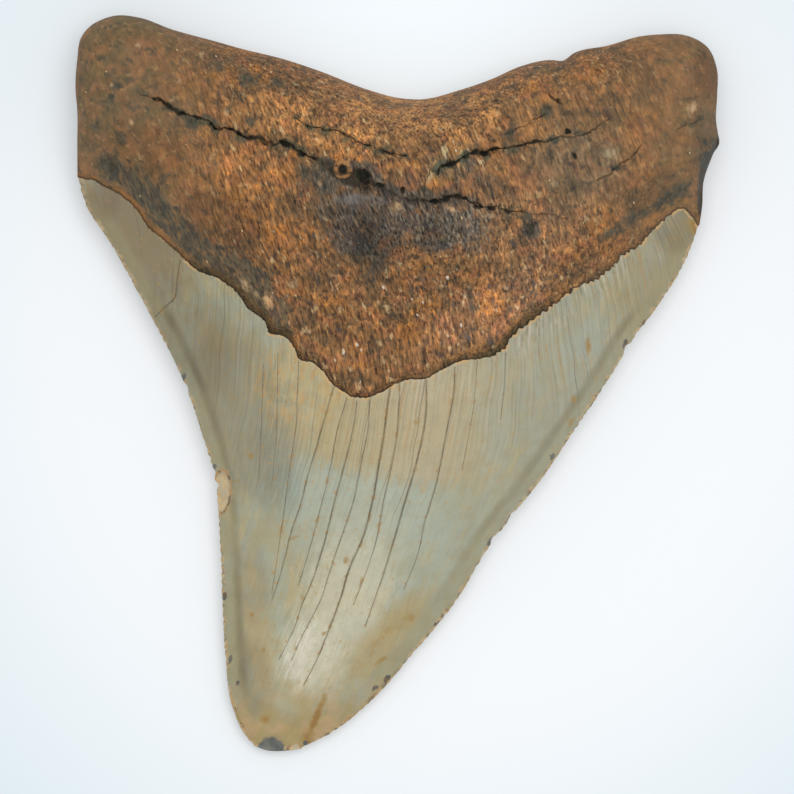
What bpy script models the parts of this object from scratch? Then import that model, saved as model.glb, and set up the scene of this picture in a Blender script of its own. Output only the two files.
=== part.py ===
"""A large fossil shark tooth, lying on its flatter face with the tip towards -Y.

The tooth is one solid piece: a blade-like crown with worn cutting edges, and a thick
two-lobed root that swells in the middle. The drawing below is in millimetres and the
finished mesh is in metres, with the underside at z = 0.
"""

import math

import bpy
import numpy as np
from mathutils import Vector, noise
from mathutils.geometry import delaunay_2d_cdt

MM = 0.001

# Driving heights and thicknesses
CROWN_RISE = 13.5
CROWN_ROUNDNESS = 2.2
LOBE_HEIGHT = 17.0
LOBE_END_DROP = 4.5
SWELLING_HEIGHT = 8.5
SWELLING_CENTRE = (1.0, 31.0)
SWELLING_REACH = (27.0, 16.0)
ROOT_EDGE_HEIGHT = 6.0
ROOT_TOP_RADIUS = 7.0
ROOT_UNDER_RADIUS = 4.5
EDGE_WALL = 0.5
TIP_LIFT = 0.9

# Height of the cutting edge above the table, from the tip up to the shoulders
EDGE_LIFT_AT_Y = (-59.0, -30.0, 0.0, 33.0)
EDGE_LIFT = (1.0, 2.2, 3.4, 4.0)

# Flat patch on the underside that the tooth rests on
REST_CENTRE = (0.0, 15.0)
REST_HALF_SIZE = (25.0, 20.0)

# Small relief
ENAMEL_STEP = 0.45
SEAM_GROOVE = 0.5
SEAM_GROOVE_WIDTH = 0.7
MARGIN_WIDTH = 2.9
MARGIN_GROOVE = 0.3
CRACK_HALF_WIDTH = 0.5
ROOT_LUMP_SIZE = 9.0
ROOT_LUMP_HEIGHT = 0.55
SERRATION_PITCH = 1.3
SERRATION_DEPTH = 0.2

# Spacing of the mesh points
ROOT_EDGE_SPACING = 1.4
TOP_SPACING = 2.0
UNDER_SPACING = 4.2
LINE_SPACING = 1.7

# Basal edge of the root, from the left shoulder over both lobes to the right shoulder
ROOT_EDGE = (
    (-51.0, 33.1), (-51.0, 38.7), (-51.0, 43.5), (-51.3, 47.3), (-51.0, 51.9),
    (-50.4, 55.3), (-48.7, 57.3), (-47.0, 58.2), (-44.9, 58.8), (-41.2, 58.5),
    (-35.9, 56.6), (-29.0, 54.7), (-24.4, 53.4), (-18.6, 52.0), (-12.2, 49.9),
    (-4.7, 47.0), (0.6, 45.6), (3.6, 45.4), (10.5, 47.0), (15.6, 48.8),
    (19.6, 50.6), (24.7, 51.7), (26.6, 51.6), (28.4, 52.8), (33.8, 54.0),
    (39.1, 55.5), (42.2, 55.8), (46.0, 55.7), (47.8, 55.1), (49.7, 53.8),
    (51.3, 50.0), (51.3, 46.2), (51.1, 42.3), (51.4, 38.4), (50.5, 36.3),
    (49.1, 32.1), (48.9, 28.4), (48.5, 25.4),
)

# Cutting edges and the blunt, broken tip
RIGHT_EDGE = (
    (48.5, 25.4), (46.5, 20.0), (42.2, 12.8), (37.8, 6.8), (35.4, 2.8), (27.6, -9.0),
    (23.1, -15.6), (18.5, -21.4), (14.5, -26.8), (9.8, -34.6), (3.1, -42.9),
    (-5.5, -52.3), (-10.2, -55.9), (-15.3, -58.5),
)
TIP_EDGE = ((-15.3, -58.5), (-17.4, -58.8), (-21.0, -58.7), (-22.8, -58.0))
LEFT_EDGE = (
    (-22.8, -58.0), (-24.4, -56.2), (-26.6, -50.9), (-27.4, -44.4), (-27.9, -35.0),
    (-28.4, -23.6), (-29.2, -15.0), (-31.4, -7.4), (-33.7, -0.7), (-37.4, 7.1),
    (-41.3, 14.3), (-46.0, 22.7), (-50.0, 29.1), (-51.0, 33.1),
)

# Notches in the outline: x, y, half length along the edge, depth
NOTCHES = (
    (36.6, 5.7, 1.2, 0.5), (15.9, -25.0, 1.3, 0.6), (18.4, -21.0, 1.2, 0.5),
    (-28.7, -16.3, 1.0, 0.9), (-29.1, -14.2, 1.3, 0.4), (51.2, 38.4, 1.0, -0.4),
    (-33.7, -0.7, 1.3, 0.3), (26.6, 51.5, 1.1, 0.4),
)

# Where the enamel meets the root, on the upper face and on the underside
ENAMEL_LINE = (
    (-50.8, 32.9), (-48.1, 32.2), (-46.2, 31.3), (-44.1, 29.9), (-41.3, 27.5),
    (-39.4, 24.7), (-37.7, 23.3), (-35.0, 21.0), (-31.6, 17.9), (-29.0, 16.8),
    (-26.6, 15.1), (-22.5, 11.5), (-19.4, 7.7), (-16.1, 5.4), (-13.4, 3.3),
    (-10.3, 0.1), (-7.8, -1.8), (-5.8, -2.4), (-3.1, -1.8), (1.0, 0.4), (5.2, 0.9),
    (7.9, 2.5), (10.2, 3.5), (15.4, 4.4), (17.2, 5.5), (18.0, 7.0), (21.5, 9.9),
    (26.2, 13.3), (29.2, 15.6), (32.2, 16.7), (35.9, 20.1), (37.8, 21.3),
    (42.5, 25.9), (45.8, 27.8), (47.0, 27.0), (48.1, 25.2),
)
UNDER_ENAMEL_LINE = (
    (-50.8, 32.9), (-40.0, 27.0), (-27.0, 18.5), (-14.0, 11.5), (-4.0, 9.0), (8.0, 10.5),
    (22.0, 16.0), (36.0, 22.5), (48.1, 25.2),
)

# Long cracks, each a depth and the points it runs through
ROOT_CRACKS = (
    (0.7, ((-41.2, 46.2), (-35.6, 44.1), (-31.6, 42.2), (-28.1, 40.4), (-23.9, 39.1),
           (-19.6, 38.0), (-14.8, 36.3), (-13.0, 35.6))),
    (0.7, ((5.2, 32.9), (7.6, 33.9), (10.5, 35.9), (15.6, 37.1), (20.4, 38.0),
           (28.4, 39.1), (34.0, 42.2))),
    (0.5, ((0.4, 29.4), (6.0, 29.1), (9.7, 29.9), (13.2, 28.1), (17.2, 27.5),
           (22.0, 26.7))),
)
CROWN_CRACKS = (
    (0.25, ((-12.9, -9.0), (-14.3, -15.4), (-15.3, -19.4), (-16.7, -23.4), (-17.7, -27.4),
            (-19.9, -34.6))),
    (0.25, ((-7.1, -8.2), (-8.7, -14.6), (-10.0, -19.4), (-11.6, -25.8), (-13.7, -32.2),
            (-16.1, -38.6), (-18.8, -44.2))),
    (0.35, ((-2.0, -8.2), (-2.8, -13.0), (-4.2, -20.5), (-5.2, -24.2), (-7.6, -29.8),
            (-9.0, -34.6), (-10.8, -39.4), (-12.6, -43.9), (-14.8, -48.2))),
    (0.3, ((4.7, -0.2), (4.6, -5.8), (3.3, -12.2), (1.2, -19.4), (-0.9, -26.6),
           (-3.6, -34.6))),
    (0.25, ((9.4, 1.4), (8.7, -4.2), (7.0, -13.0), (4.4, -22.6), (1.2, -33.0))),
    (0.3, ((-34.5, 19.5), (-35.6, 13.4), (-36.4, 12.7), (-38.5, 10.7))),
)

# Small hollows in the upper face: x, y, radius, depth
PITS = (
    (1.0, 30.7, 0.8, 1.0), (-8.4, 34.2, 1.3, 0.6), (-5.0, 32.6, 1.6, 0.9),
    (27.3, 40.1, 0.9, 0.7), (25.7, 44.9, 0.9, 0.6), (28.4, 36.1, 0.9, 0.5),
    (21.2, 24.6, 1.5, 0.5), (-45.2, 35.0, 1.4, 0.5),
)
CHIPS = (
    (-28.6, -17.2, 3.6, 1.2), (-33.6, 0.9, 1.3, 0.5), (36.4, 6.2, 1.6, 0.6),
    (39.4, 9.7, 1.2, 0.4), (30.0, -4.5, 1.3, 0.4), (25.2, -11.9, 1.4, 0.5),
    (20.5, -17.3, 1.2, 0.4), (18.3, -20.7, 1.6, 0.6), (14.9, -24.7, 1.4, 0.6),
    (-1.4, -47.1, 1.5, 0.4), (-27.2, -34.1, 1.2, 0.4), (-25.4, -48.2, 1.4, 0.4),
    (-21.0, -57.6, 2.0, 0.7), (50.6, 39.5, 2.6, 0.9),
)


def smooth_curve(points, spacing):
    """Evenly spaced points on a smooth curve through hand-placed points."""
    placed = np.array(points, float)
    chords = np.linalg.norm(np.diff(placed, axis=0), axis=1)
    knots = np.concatenate([[0.0], np.cumsum(chords)])
    slopes = np.gradient(placed, knots, axis=0)
    steps = np.linspace(0.0, knots[-1], max(2, round(knots[-1] / spacing) + 1))
    piece = np.clip(np.searchsorted(knots, steps, side="right") - 1, 0, len(placed) - 2)
    gap = (knots[piece + 1] - knots[piece])[:, None]
    t = (steps - knots[piece])[:, None] / gap
    start = (2 * t**3 - 3 * t**2 + 1) * placed[piece] + (t**3 - 2 * t**2 + t) * gap * slopes[piece]
    end = (3 * t**2 - 2 * t**3) * placed[piece + 1] + (t**3 - t**2) * gap * slopes[piece + 1]
    return start + end


def distance_to_line(points, line):
    """Shortest distance from each point to an open line of straight pieces."""
    start = line[:-1]
    run = line[1:] - start
    length_squared = np.maximum((run**2).sum(axis=1), 1e-9)
    offset = points[:, None, :] - start[None, :, :]
    along = np.clip((offset * run[None]).sum(axis=2) / length_squared, 0.0, 1.0)
    gap = offset - along[:, :, None] * run[None]
    return np.sqrt((gap**2).sum(axis=2).min(axis=1))


def inside(points, outline):
    """True for the points that lie within a closed outline."""
    x, y = points[:, :1], points[:, 1:]
    x0, y0 = outline[:, 0], outline[:, 1]
    x1, y1 = np.roll(x0, -1), np.roll(y0, -1)
    level = (y0 > y) != (y1 > y)
    rise = np.where(np.abs(y1 - y0) < 1e-9, 1e-9, y1 - y0)
    crossing = x < (x1 - x0) * (y - y0) / rise + x0
    return (level & crossing).sum(axis=1) % 2 == 1


def smoothstep(value, low, high):
    t = np.clip((value - low) / (high - low), 0.0, 1.0)
    return t * t * (3.0 - 2.0 * t)


def quarter_round(distance, radius):
    """Rises from 0 to 1 as a quarter circle over the given radius."""
    t = np.clip(distance / radius, 0.0, 1.0)
    return np.sqrt(np.clip(1.0 - (1.0 - t) ** 2, 0.0, 1.0))


def lumps(points, size, seed):
    """Smooth uneven values from about -1 to 1, one for each point."""
    return np.array([noise.noise(Vector((x / size, y / size, seed))) for x, y in points])


def inward_normals(line):
    """Unit normals to the right of the direction of travel, which is clockwise."""
    travel = np.gradient(line, axis=0)
    travel /= np.linalg.norm(travel, axis=1)[:, None]
    return np.column_stack([travel[:, 1], -travel[:, 0]])


def serrated(line, pitch, depth):
    """A cutting edge with worn serrations that come and go along it."""
    along = np.arange(len(line)) * (pitch / 2.0)
    wear = 0.55 + 0.3 * np.sin(along / 7.3 + 1.0) + 0.15 * np.sin(along / 2.9)
    push = depth * wear * (0.5 - 0.5 * np.cos(2.0 * math.pi * along / pitch))
    push[0] = push[-1] = 0.0
    return line + inward_normals(line) * push[:, None]


def notched(line):
    """The same line with each small notch pressed into it."""
    normals = inward_normals(line)
    shift = np.zeros(len(line))
    for x, y, half_length, depth in NOTCHES:
        reach = np.hypot(line[:, 0] - x, line[:, 1] - y)
        shift += depth * np.clip(1.0 - reach / half_length, 0.0, 1.0)
    shift[0] = shift[-1] = 0.0
    return line + normals * shift[:, None]


def outline_parts():
    """Root edge, right edge, tip and left edge, in clockwise order."""
    half_pitch = SERRATION_PITCH / 2.0
    root = notched(smooth_curve(ROOT_EDGE, ROOT_EDGE_SPACING))
    right = serrated(smooth_curve(RIGHT_EDGE, half_pitch), SERRATION_PITCH, SERRATION_DEPTH)
    left = serrated(smooth_curve(LEFT_EDGE, half_pitch), SERRATION_PITCH, SERRATION_DEPTH)
    return [root, notched(right), smooth_curve(TIP_EDGE, half_pitch), notched(left)]


def across_crown(points):
    """-1 at the left cutting edge, 0 on the middle of the blade and 1 at the right."""
    left = np.array(LEFT_EDGE)
    right = np.array(RIGHT_EDGE)[::-1]
    x_left = np.interp(points[:, 1], left[:, 1], left[:, 0])
    x_right = np.interp(points[:, 1], right[:, 1], right[:, 0])
    middle = (x_left + x_right) / 2.0
    return np.clip((points[:, 0] - middle) / ((x_right - x_left) / 2.0), -1.0, 1.0)


def above_line(points, line):
    """Distance to a line across the tooth, positive on the root's side."""
    side = np.where(points[:, 1] > np.interp(points[:, 0], line[:, 0], line[:, 1]), 1.0, -1.0)
    return side * distance_to_line(points, line)


def edge_height(points, onto_root):
    """Height of the underside at the outline, on the crown and on the root."""
    crown = np.interp(points[:, 1], EDGE_LIFT_AT_Y, EDGE_LIFT)
    return crown + (ROOT_EDGE_HEIGHT - crown) * onto_root


def upper_relief(points, beyond_enamel, cutting_edges):
    """Small steps, grooves, cracks, pits and chips on the upper face."""
    step = ENAMEL_STEP * smoothstep(beyond_enamel, 0.0, 0.6) * (1.0 - smoothstep(beyond_enamel, 4.0, 9.0))
    left_side = smoothstep(-points[:, 0], -10.0, 8.0)
    groove = SEAM_GROOVE * np.clip(1.0 - np.abs(beyond_enamel - 0.6) / SEAM_GROOVE_WIDTH, 0.0, 1.0)
    height = -step - groove * (0.3 + 0.7 * left_side)
    to_edge = distance_to_line(points, cutting_edges)
    on_crown = 1.0 - smoothstep(beyond_enamel, -6.0, -2.0)
    height -= MARGIN_GROOVE * on_crown * np.clip(1.0 - np.abs(to_edge - MARGIN_WIDTH) / 0.9, 0.0, 1.0)
    for depth, route in ROOT_CRACKS + CROWN_CRACKS:
        near = distance_to_line(points, smooth_curve(route, LINE_SPACING))
        height -= depth * np.clip(1.0 - near / CRACK_HALF_WIDTH, 0.0, 1.0)
    for x, y, radius, depth in PITS + CHIPS:
        reach = np.hypot(points[:, 0] - x, points[:, 1] - y) / radius
        height -= depth * np.clip(1.0 - reach**2, 0.0, 1.0)
    return height


def upper_height(points, root_edge, enamel, cutting_edges):
    """Height of the upper face: the rounded blade, the lobes and the swelling."""
    beyond_enamel = above_line(points, enamel)
    onto_root = smoothstep(beyond_enamel, -3.0, 9.0)
    rim = quarter_round(distance_to_line(points, root_edge), ROOT_TOP_RADIUS)
    start = edge_height(points, onto_root) + EDGE_WALL

    to_tip = np.clip((points[:, 1] + 59.5) / 57.0, 0.0, 1.0)
    blade = (1.0 - np.abs(across_crown(points)) ** CROWN_ROUNDNESS) ** 0.9
    crown = start + CROWN_RISE * to_tip**0.75 * blade

    lobe = LOBE_HEIGHT - LOBE_END_DROP * (np.abs(points[:, 0]) / 51.0) ** 2.5
    bumps = ROOT_LUMP_HEIGHT * lumps(points, ROOT_LUMP_SIZE, 2.0)
    root = start + (lobe - start + bumps) * rim

    away_x = (points[:, 0] - SWELLING_CENTRE[0]) / SWELLING_REACH[0]
    away_y = (points[:, 1] - SWELLING_CENTRE[1]) / SWELLING_REACH[1]
    swelling = SWELLING_HEIGHT * np.exp(-(away_x**2) - away_y**2) * rim
    inset = quarter_round(np.minimum(distance_to_line(points, root_edge),
                                     distance_to_line(points, cutting_edges)), 1.5)
    relief = upper_relief(points, beyond_enamel, cutting_edges) * inset
    return crown + (root - crown) * onto_root + swelling + relief


def outside_rest_patch(points):
    """0 on the flat resting patch and 1 well outside it."""
    away_x = (points[:, 0] - REST_CENTRE[0]) / REST_HALF_SIZE[0]
    away_y = (points[:, 1] - REST_CENTRE[1]) / REST_HALF_SIZE[1]
    return smoothstep(np.hypot(away_x, away_y), 1.0, 1.45)


def under_height(points, root_edge, enamel):
    """Height of the underside, which is nearly flat and rises at its edges."""
    beyond_enamel = above_line(points, enamel)
    onto_root = smoothstep(beyond_enamel, -3.0, 6.0)
    lift = edge_height(points, onto_root)
    to_tip = np.clip((-10.0 - points[:, 1]) / 48.0, 0.0, 1.0)
    crown = lift * np.abs(across_crown(points)) ** 2.6
    crown = np.maximum(crown, TIP_LIFT * to_tip**1.5)
    rim = quarter_round(distance_to_line(points, root_edge), ROOT_UNDER_RADIUS)
    root = lift * (1.0 - rim) + 1.2 * (np.abs(points[:, 0]) / 51.0) ** 2 * rim
    step = 0.3 * smoothstep(beyond_enamel, 0.0, 0.6)
    bumps = 0.35 + ROOT_LUMP_HEIGHT * lumps(points, ROOT_LUMP_SIZE, 7.0) * onto_root
    shape = crown + (root - crown) * onto_root + (step + np.maximum(bumps, 0.0)) * rim
    return shape * outside_rest_patch(points)


def hexagonal_points(spacing):
    """Evenly spread points over the whole tooth's box."""
    row_gap = spacing * math.sqrt(3.0) / 2.0
    rows = []
    for row, y in enumerate(np.arange(-60.0, 60.0, row_gap)):
        x = np.arange(-53.0, 53.0, spacing) + (row % 2) * spacing / 2.0
        rows.append(np.column_stack([x, np.full(len(x), y)]))
    return np.vstack(rows)


def offset_ring(parts, distance, outline):
    """Points at one distance inside the outline, where there is room for them."""
    ring = np.vstack([line + inward_normals(line) * distance for line in parts])
    closed = np.vstack([outline, outline[:1]])
    real = distance_to_line(ring, closed)
    return ring[inside(ring, outline) & (real > 0.85 * distance)]


def beside_line(line, distance):
    """The line itself with a row of points on each side of it."""
    shift = inward_normals(line) * distance
    return np.vstack([line, line + shift, line - shift])


def circle(x, y, radius, count):
    angles = np.linspace(0.0, 2.0 * math.pi, count, endpoint=False)
    return np.column_stack([x + radius * np.cos(angles), y + radius * np.sin(angles)])


def keep_clear(points, others, gap):
    """Drops the points that lie closer than the gap to any of the others."""
    keep = np.ones(len(points), bool)
    for start in range(0, len(points), 500):
        block = points[start:start + 500]
        reach = np.hypot(block[:, None, 0] - others[None, :, 0],
                         block[:, None, 1] - others[None, :, 1])
        keep[start:start + 500] = reach.min(axis=1) > gap
    return points[keep]


def thin_out(points, gap):
    """Drops each point that follows too close to an earlier one."""
    kept = points[:1]
    for point in points[1:]:
        if np.hypot(kept[:, 0] - point[0], kept[:, 1] - point[1]).min() > gap:
            kept = np.vstack([kept, point])
    return kept


def upper_points(parts, outline, enamel, closed):
    """Points of the upper face inside the outline, closest where the relief is fine."""
    features = [beside_line(enamel[1:-1], 0.6)]
    for _, route in ROOT_CRACKS + CROWN_CRACKS:
        features.append(beside_line(smooth_curve(route, LINE_SPACING), CRACK_HALF_WIDTH))
    for x, y, radius, _ in PITS + CHIPS:
        features.append(circle(x, y, radius, 8))
        features.append(np.array([[x, y]]))
    features = np.vstack(features)
    features = features[inside(features, outline)]
    features = features[distance_to_line(features, closed) > 0.3]
    rings = [offset_ring(parts, 0.3, outline)]
    rings.append(offset_ring([parts[0][::2]], 1.3, outline))
    rings.append(offset_ring([parts[0][::2]], 3.2, outline))
    for line in (parts[1], parts[3]):
        for distance in (MARGIN_WIDTH - 0.9, MARGIN_WIDTH, MARGIN_WIDTH + 0.9):
            rings.append(offset_ring([line[::3]], distance, outline))
    fine = thin_out(np.vstack([features] + rings), 0.28)
    rest = hexagonal_points(TOP_SPACING)
    rest = rest[inside(rest, outline)]
    rest = rest[distance_to_line(rest, closed) > 1.0]
    return np.vstack([fine, keep_clear(rest, fine, 0.55 * TOP_SPACING)])


def under_points(parts, outline, enamel, closed):
    """Points of the underside, with none inside the flat patch."""
    seam = beside_line(enamel[1:-1:3], 0.6)
    patch = [
        circle(0.0, 0.0, reach, 40) * REST_HALF_SIZE + REST_CENTRE
        for reach in (1.0, 1.15, 1.45)
    ]
    rings = [offset_ring([parts[0]], 0.3, outline)]
    rings.append(offset_ring([parts[0][::2]], 1.1, outline))
    rings.append(offset_ring([parts[0][::3]], 3.0, outline))
    fine = thin_out(np.vstack(patch + rings), 0.28)
    rest = np.vstack([seam, hexagonal_points(UNDER_SPACING)])
    rest = rest[inside(rest, outline) & (outside_rest_patch(rest) > 0.0)]
    rest = rest[distance_to_line(rest, closed) > 1.2]
    return np.vstack([fine, keep_clear(rest, fine, 1.2)])


def triangulate(outline, others):
    """Triangles between the outline and the points inside it, outline points first."""
    count = len(outline)
    points = [Vector(point) for point in np.vstack([outline, others])]
    border = [(i, (i + 1) % count) for i in range(count)]
    flat, _, faces, sources, _, _ = delaunay_2d_cdt(points, border, [], 1, 1e-6, True)
    flat = np.array([tuple(point) for point in flat])
    faces = np.array(faces)
    faces = faces[inside(flat[faces].mean(axis=1), outline)]
    place = {}
    for new, old in enumerate(sources):
        for index in old:
            place[index] = new
    return flat, [tuple(face) for face in faces.tolist()], [place[i] for i in range(count)]


def tooth_mesh():
    """The closed mesh: upper face, underside and the thin worn wall between them."""
    parts = outline_parts()
    outline = np.vstack([line[:-1] for line in parts])
    closed = np.vstack([outline, outline[:1]])
    root_edge = parts[0]
    cutting_edges = np.vstack([parts[1], parts[2][1:], parts[3][1:]])
    enamel = smooth_curve(ENAMEL_LINE, 1.1)
    under_enamel = smooth_curve(UNDER_ENAMEL_LINE, 1.1)

    top, top_faces, top_rim = triangulate(outline, upper_points(parts, outline, enamel, closed))
    low, low_faces, low_rim = triangulate(outline, under_points(parts, outline, under_enamel, closed))
    low_z = under_height(low, root_edge, under_enamel)
    top_z = upper_height(top, root_edge, enamel, cutting_edges)
    top_z[top_rim] = low_z[low_rim] + EDGE_WALL

    centre = (outline.min(axis=0) + outline.max(axis=0)) / 2.0
    upper = np.column_stack([top - centre, top_z])
    under = np.column_stack([low - centre, low_z])
    vertices = np.vstack([upper, under]) * MM

    first_low = len(upper)
    faces = list(top_faces)
    faces += [tuple(first_low + i for i in reversed(face)) for face in low_faces]
    seam_side = above_line(top[np.array(top_faces)].mean(axis=1), enamel) > 0.0
    low_side = above_line(low[np.array(low_faces)].mean(axis=1), under_enamel) > 0.0
    slots = [int(side) for side in seam_side] + [int(side) for side in low_side]
    wall_is_root = len(parts[0]) - 1
    for i in range(len(outline)):
        j = (i + 1) % len(outline)
        a, b = top_rim[i], top_rim[j]
        c, d = first_low + low_rim[j], first_low + low_rim[i]
        faces += [(a, b, c), (a, c, d)]
        slots += [int(i < wall_is_root)] * 2
    return vertices, faces, slots


def surface(name, colour, roughness):
    material = bpy.data.materials.new(name)
    material.use_nodes = True
    shader = material.node_tree.nodes["Principled BSDF"]
    shader.inputs["Base Color"].default_value = (*colour, 1.0)
    shader.inputs["Roughness"].default_value = roughness
    shader.inputs["Metallic"].default_value = 0.0
    material.diffuse_color = (*colour, 1.0)
    return material


def make_tooth():
    vertices, faces, slots = tooth_mesh()
    mesh = bpy.data.meshes.new("tooth")
    mesh.from_pydata(vertices.tolist(), [], faces)
    mesh.materials.append(surface("worn enamel", (0.42, 0.38, 0.25), 0.4))
    mesh.materials.append(surface("fibrous root", (0.19, 0.11, 0.065), 0.75))
    mesh.polygons.foreach_set("material_index", slots)
    mesh.shade_smooth()
    mesh.set_sharp_from_angle(angle=math.radians(50.0))
    mesh.update()
    tooth = bpy.data.objects.new("tooth", mesh)
    bpy.context.scene.collection.objects.link(tooth)
    return tooth


def main():
    for old in list(bpy.data.objects):
        bpy.data.objects.remove(old, do_unlink=True)
    make_tooth()


main()
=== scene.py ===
"""A large fossil shark tooth, lying on its flatter face with the tip towards -Y.

The tooth is drawn in millimetres on the frame's own outline, meshed finely, given its
fine relief by a Geometry Nodes tree, and finished with procedural enamel and root.
"""

import math

import bpy
import numpy as np
from bpy.props import FloatProperty, FloatVectorProperty, IntProperty, PointerProperty
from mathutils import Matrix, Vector, kdtree, noise
from mathutils.geometry import delaunay_2d_cdt


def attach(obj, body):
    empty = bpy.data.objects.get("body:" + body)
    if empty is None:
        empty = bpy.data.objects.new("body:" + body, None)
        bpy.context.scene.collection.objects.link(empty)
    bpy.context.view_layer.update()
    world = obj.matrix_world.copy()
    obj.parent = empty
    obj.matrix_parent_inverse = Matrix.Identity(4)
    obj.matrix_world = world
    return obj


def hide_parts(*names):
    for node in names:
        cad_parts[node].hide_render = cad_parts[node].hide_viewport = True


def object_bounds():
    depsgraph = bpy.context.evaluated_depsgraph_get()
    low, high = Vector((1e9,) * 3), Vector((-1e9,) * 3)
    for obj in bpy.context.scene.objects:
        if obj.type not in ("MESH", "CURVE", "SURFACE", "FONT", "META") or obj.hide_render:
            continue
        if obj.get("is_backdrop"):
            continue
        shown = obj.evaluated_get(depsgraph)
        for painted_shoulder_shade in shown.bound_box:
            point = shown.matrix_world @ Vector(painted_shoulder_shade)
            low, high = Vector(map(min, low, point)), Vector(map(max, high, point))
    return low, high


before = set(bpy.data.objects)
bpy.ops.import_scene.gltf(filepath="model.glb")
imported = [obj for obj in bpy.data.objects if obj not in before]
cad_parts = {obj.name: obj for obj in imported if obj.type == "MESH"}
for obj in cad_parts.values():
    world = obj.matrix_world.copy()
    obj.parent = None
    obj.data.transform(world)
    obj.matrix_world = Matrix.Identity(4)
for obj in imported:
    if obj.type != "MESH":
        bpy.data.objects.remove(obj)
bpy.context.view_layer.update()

bl_info = {
    "name": "Fossil shark tooth",
    "version": (1, 0, 0),
    "blender": (4, 5, 0),
    "location": "3D View > Sidebar > Fossil",
    "description": "Builds a fossil shark tooth with worn enamel and a fibrous root",
    "category": "Add Mesh",
}

MM = 0.001
NODE = "tooth"
BODY = "root"

# Sizes of the form, in millimetres, as in the frame's solid
CROWN_ROUNDNESS = 2.2
LOBE_END_DROP = 4.5
SWELLING_CENTRE = (1.0, 31.0)
SWELLING_REACH = (27.0, 16.0)
ROOT_EDGE_HEIGHT = 6.0
ROOT_TOP_RADIUS = 7.0
ROOT_UNDER_RADIUS = 4.5
EDGE_WALL = 0.5
TIP_LIFT = 0.9
EDGE_LIFT_AT_Y = (-59.0, -30.0, 0.0, 33.0)
EDGE_LIFT = (1.0, 2.2, 3.4, 4.0)
REST_CENTRE = (0.0, 15.0)
REST_HALF_SIZE = (25.0, 20.0)
ENAMEL_STEP = 0.45
SEAM_GROOVE = 0.5
ROOT_LUMP_SIZE = 9.0
ROOT_LUMP_HEIGHT = 0.55
HALF_WIDTH = 51.0
BLADE_START_Y = -59.5
BLADE_RISE_LENGTH = 57.0
UNDER_STEP = 0.3

# Finer relief of the upper face, in millimetres
MARGIN_WIDTH = 2.5
MARGIN_DEPTH = 0.22
SHELF_DEPTH = 0.35
PLEAT_HEIGHT = 0.12
PLEAT_WAVE = 1.05

# Spacing of the points along the drawn lines, in millimetres
OUTLINE_SPACING = 0.32
SMOOTH_SPACING = 1.2
SEAM_SPACING = 0.22
CRACK_SPACING = 0.25

# How far the cracks waver, how far from a crack its marks are looked for, and the
# distance from one short pleat of the enamel line to the next
ROOT_CRACK_WAVER = 0.32
CROWN_CRACK_WAVER = 0.05
CRACK_REACH = 2.5
PLEAT_PITCH = 1.1

# Rows of mesh points beside each kind of drawn line, and the box that the rest fill
SEAM_ROWS = (0.2, 0.42, 0.8)
ROOT_CRACK_ROWS = (0.13, 0.3, 0.55)
CROWN_CRACK_ROWS = (0.1, 0.22)
UNDER_SEAM_ROWS = (0.3, 0.6)
RIM_ROWS = (0.12, 0.32)
UNDER_RIM_ROWS = (0.15, 0.45)
POINTS_HALF_WIDTH = 53.0
POINTS_HALF_LENGTH = 60.0
POINTS_SEED = 3

# Points measured against a line in one go, which keeps the arrays small
BLOCK = 4000

# The stage, in metres: the painted shade that darkens the floor away from the tooth, the
# painted light that makes it brighter and cooler above the root, how much of its colour
# is lit and how much glows as painted light, and where the light, the floor and the camera stand
FLOOR_MIDDLE = (0.005, 0.004, 0.0)
FLOOR_FADES_FROM = 0.045
FLOOR_FADES_TO = 0.12
FLOOR_PAINTED_SHADE = (0.755, 0.845, 0.868)
ABOVE_ROOT = (0.004, 0.05, 0.0)
PAINTED_LIGHT_REACH = 0.055
FLOOR_PAINTED_LIGHT = (1.05, 1.10, 1.115)
FLOOR_LIT_SHARE = (0.72, 0.72, 0.72)
FLOOR_GLOW = 0.27
FLOOR_HALF_SIZE = 4.0
FLOOR_DROP = 0.0002
KEY_PLACE = (0.2, 0.35, 1.75)
KEY_SIZE = 1.7
KEY_COLOUR = (1.0, 0.99, 0.97)
SURROUND_COLOUR = (0.95, 0.975, 1.0)
EDGE_PLANE = 0.004
CAMERA_SHIFT_X = 0.00008
CAMERA_SHIFT_Y = 0.00216

# Relief of the finishes, in metres
ENAMEL_BUMP = 0.00005
ROOT_BUMP = 0.00028

# Basal edge of the root, from the left shoulder over both lobes to the right shoulder
ROOT_EDGE = (
    (-51.0, 33.1), (-51.0, 38.7), (-51.0, 43.5), (-51.3, 47.3), (-51.0, 51.9),
    (-50.4, 55.3), (-48.7, 57.3), (-47.0, 58.2), (-44.9, 58.8), (-41.2, 58.5),
    (-35.9, 56.6), (-29.0, 54.7), (-24.4, 53.4), (-18.6, 52.0), (-12.2, 49.9),
    (-4.7, 47.0), (0.6, 45.6), (3.6, 45.4), (10.5, 47.0), (15.6, 48.8),
    (19.6, 50.6), (24.7, 51.7), (26.6, 51.6), (28.4, 52.8), (33.8, 54.0),
    (39.1, 55.5), (42.2, 55.8), (46.0, 55.7), (47.8, 55.1), (49.7, 53.8),
    (51.3, 50.0), (51.3, 46.2), (51.1, 42.3), (51.4, 38.4), (50.5, 36.3),
    (49.1, 32.1), (48.9, 28.4), (48.5, 25.4),
)

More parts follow.
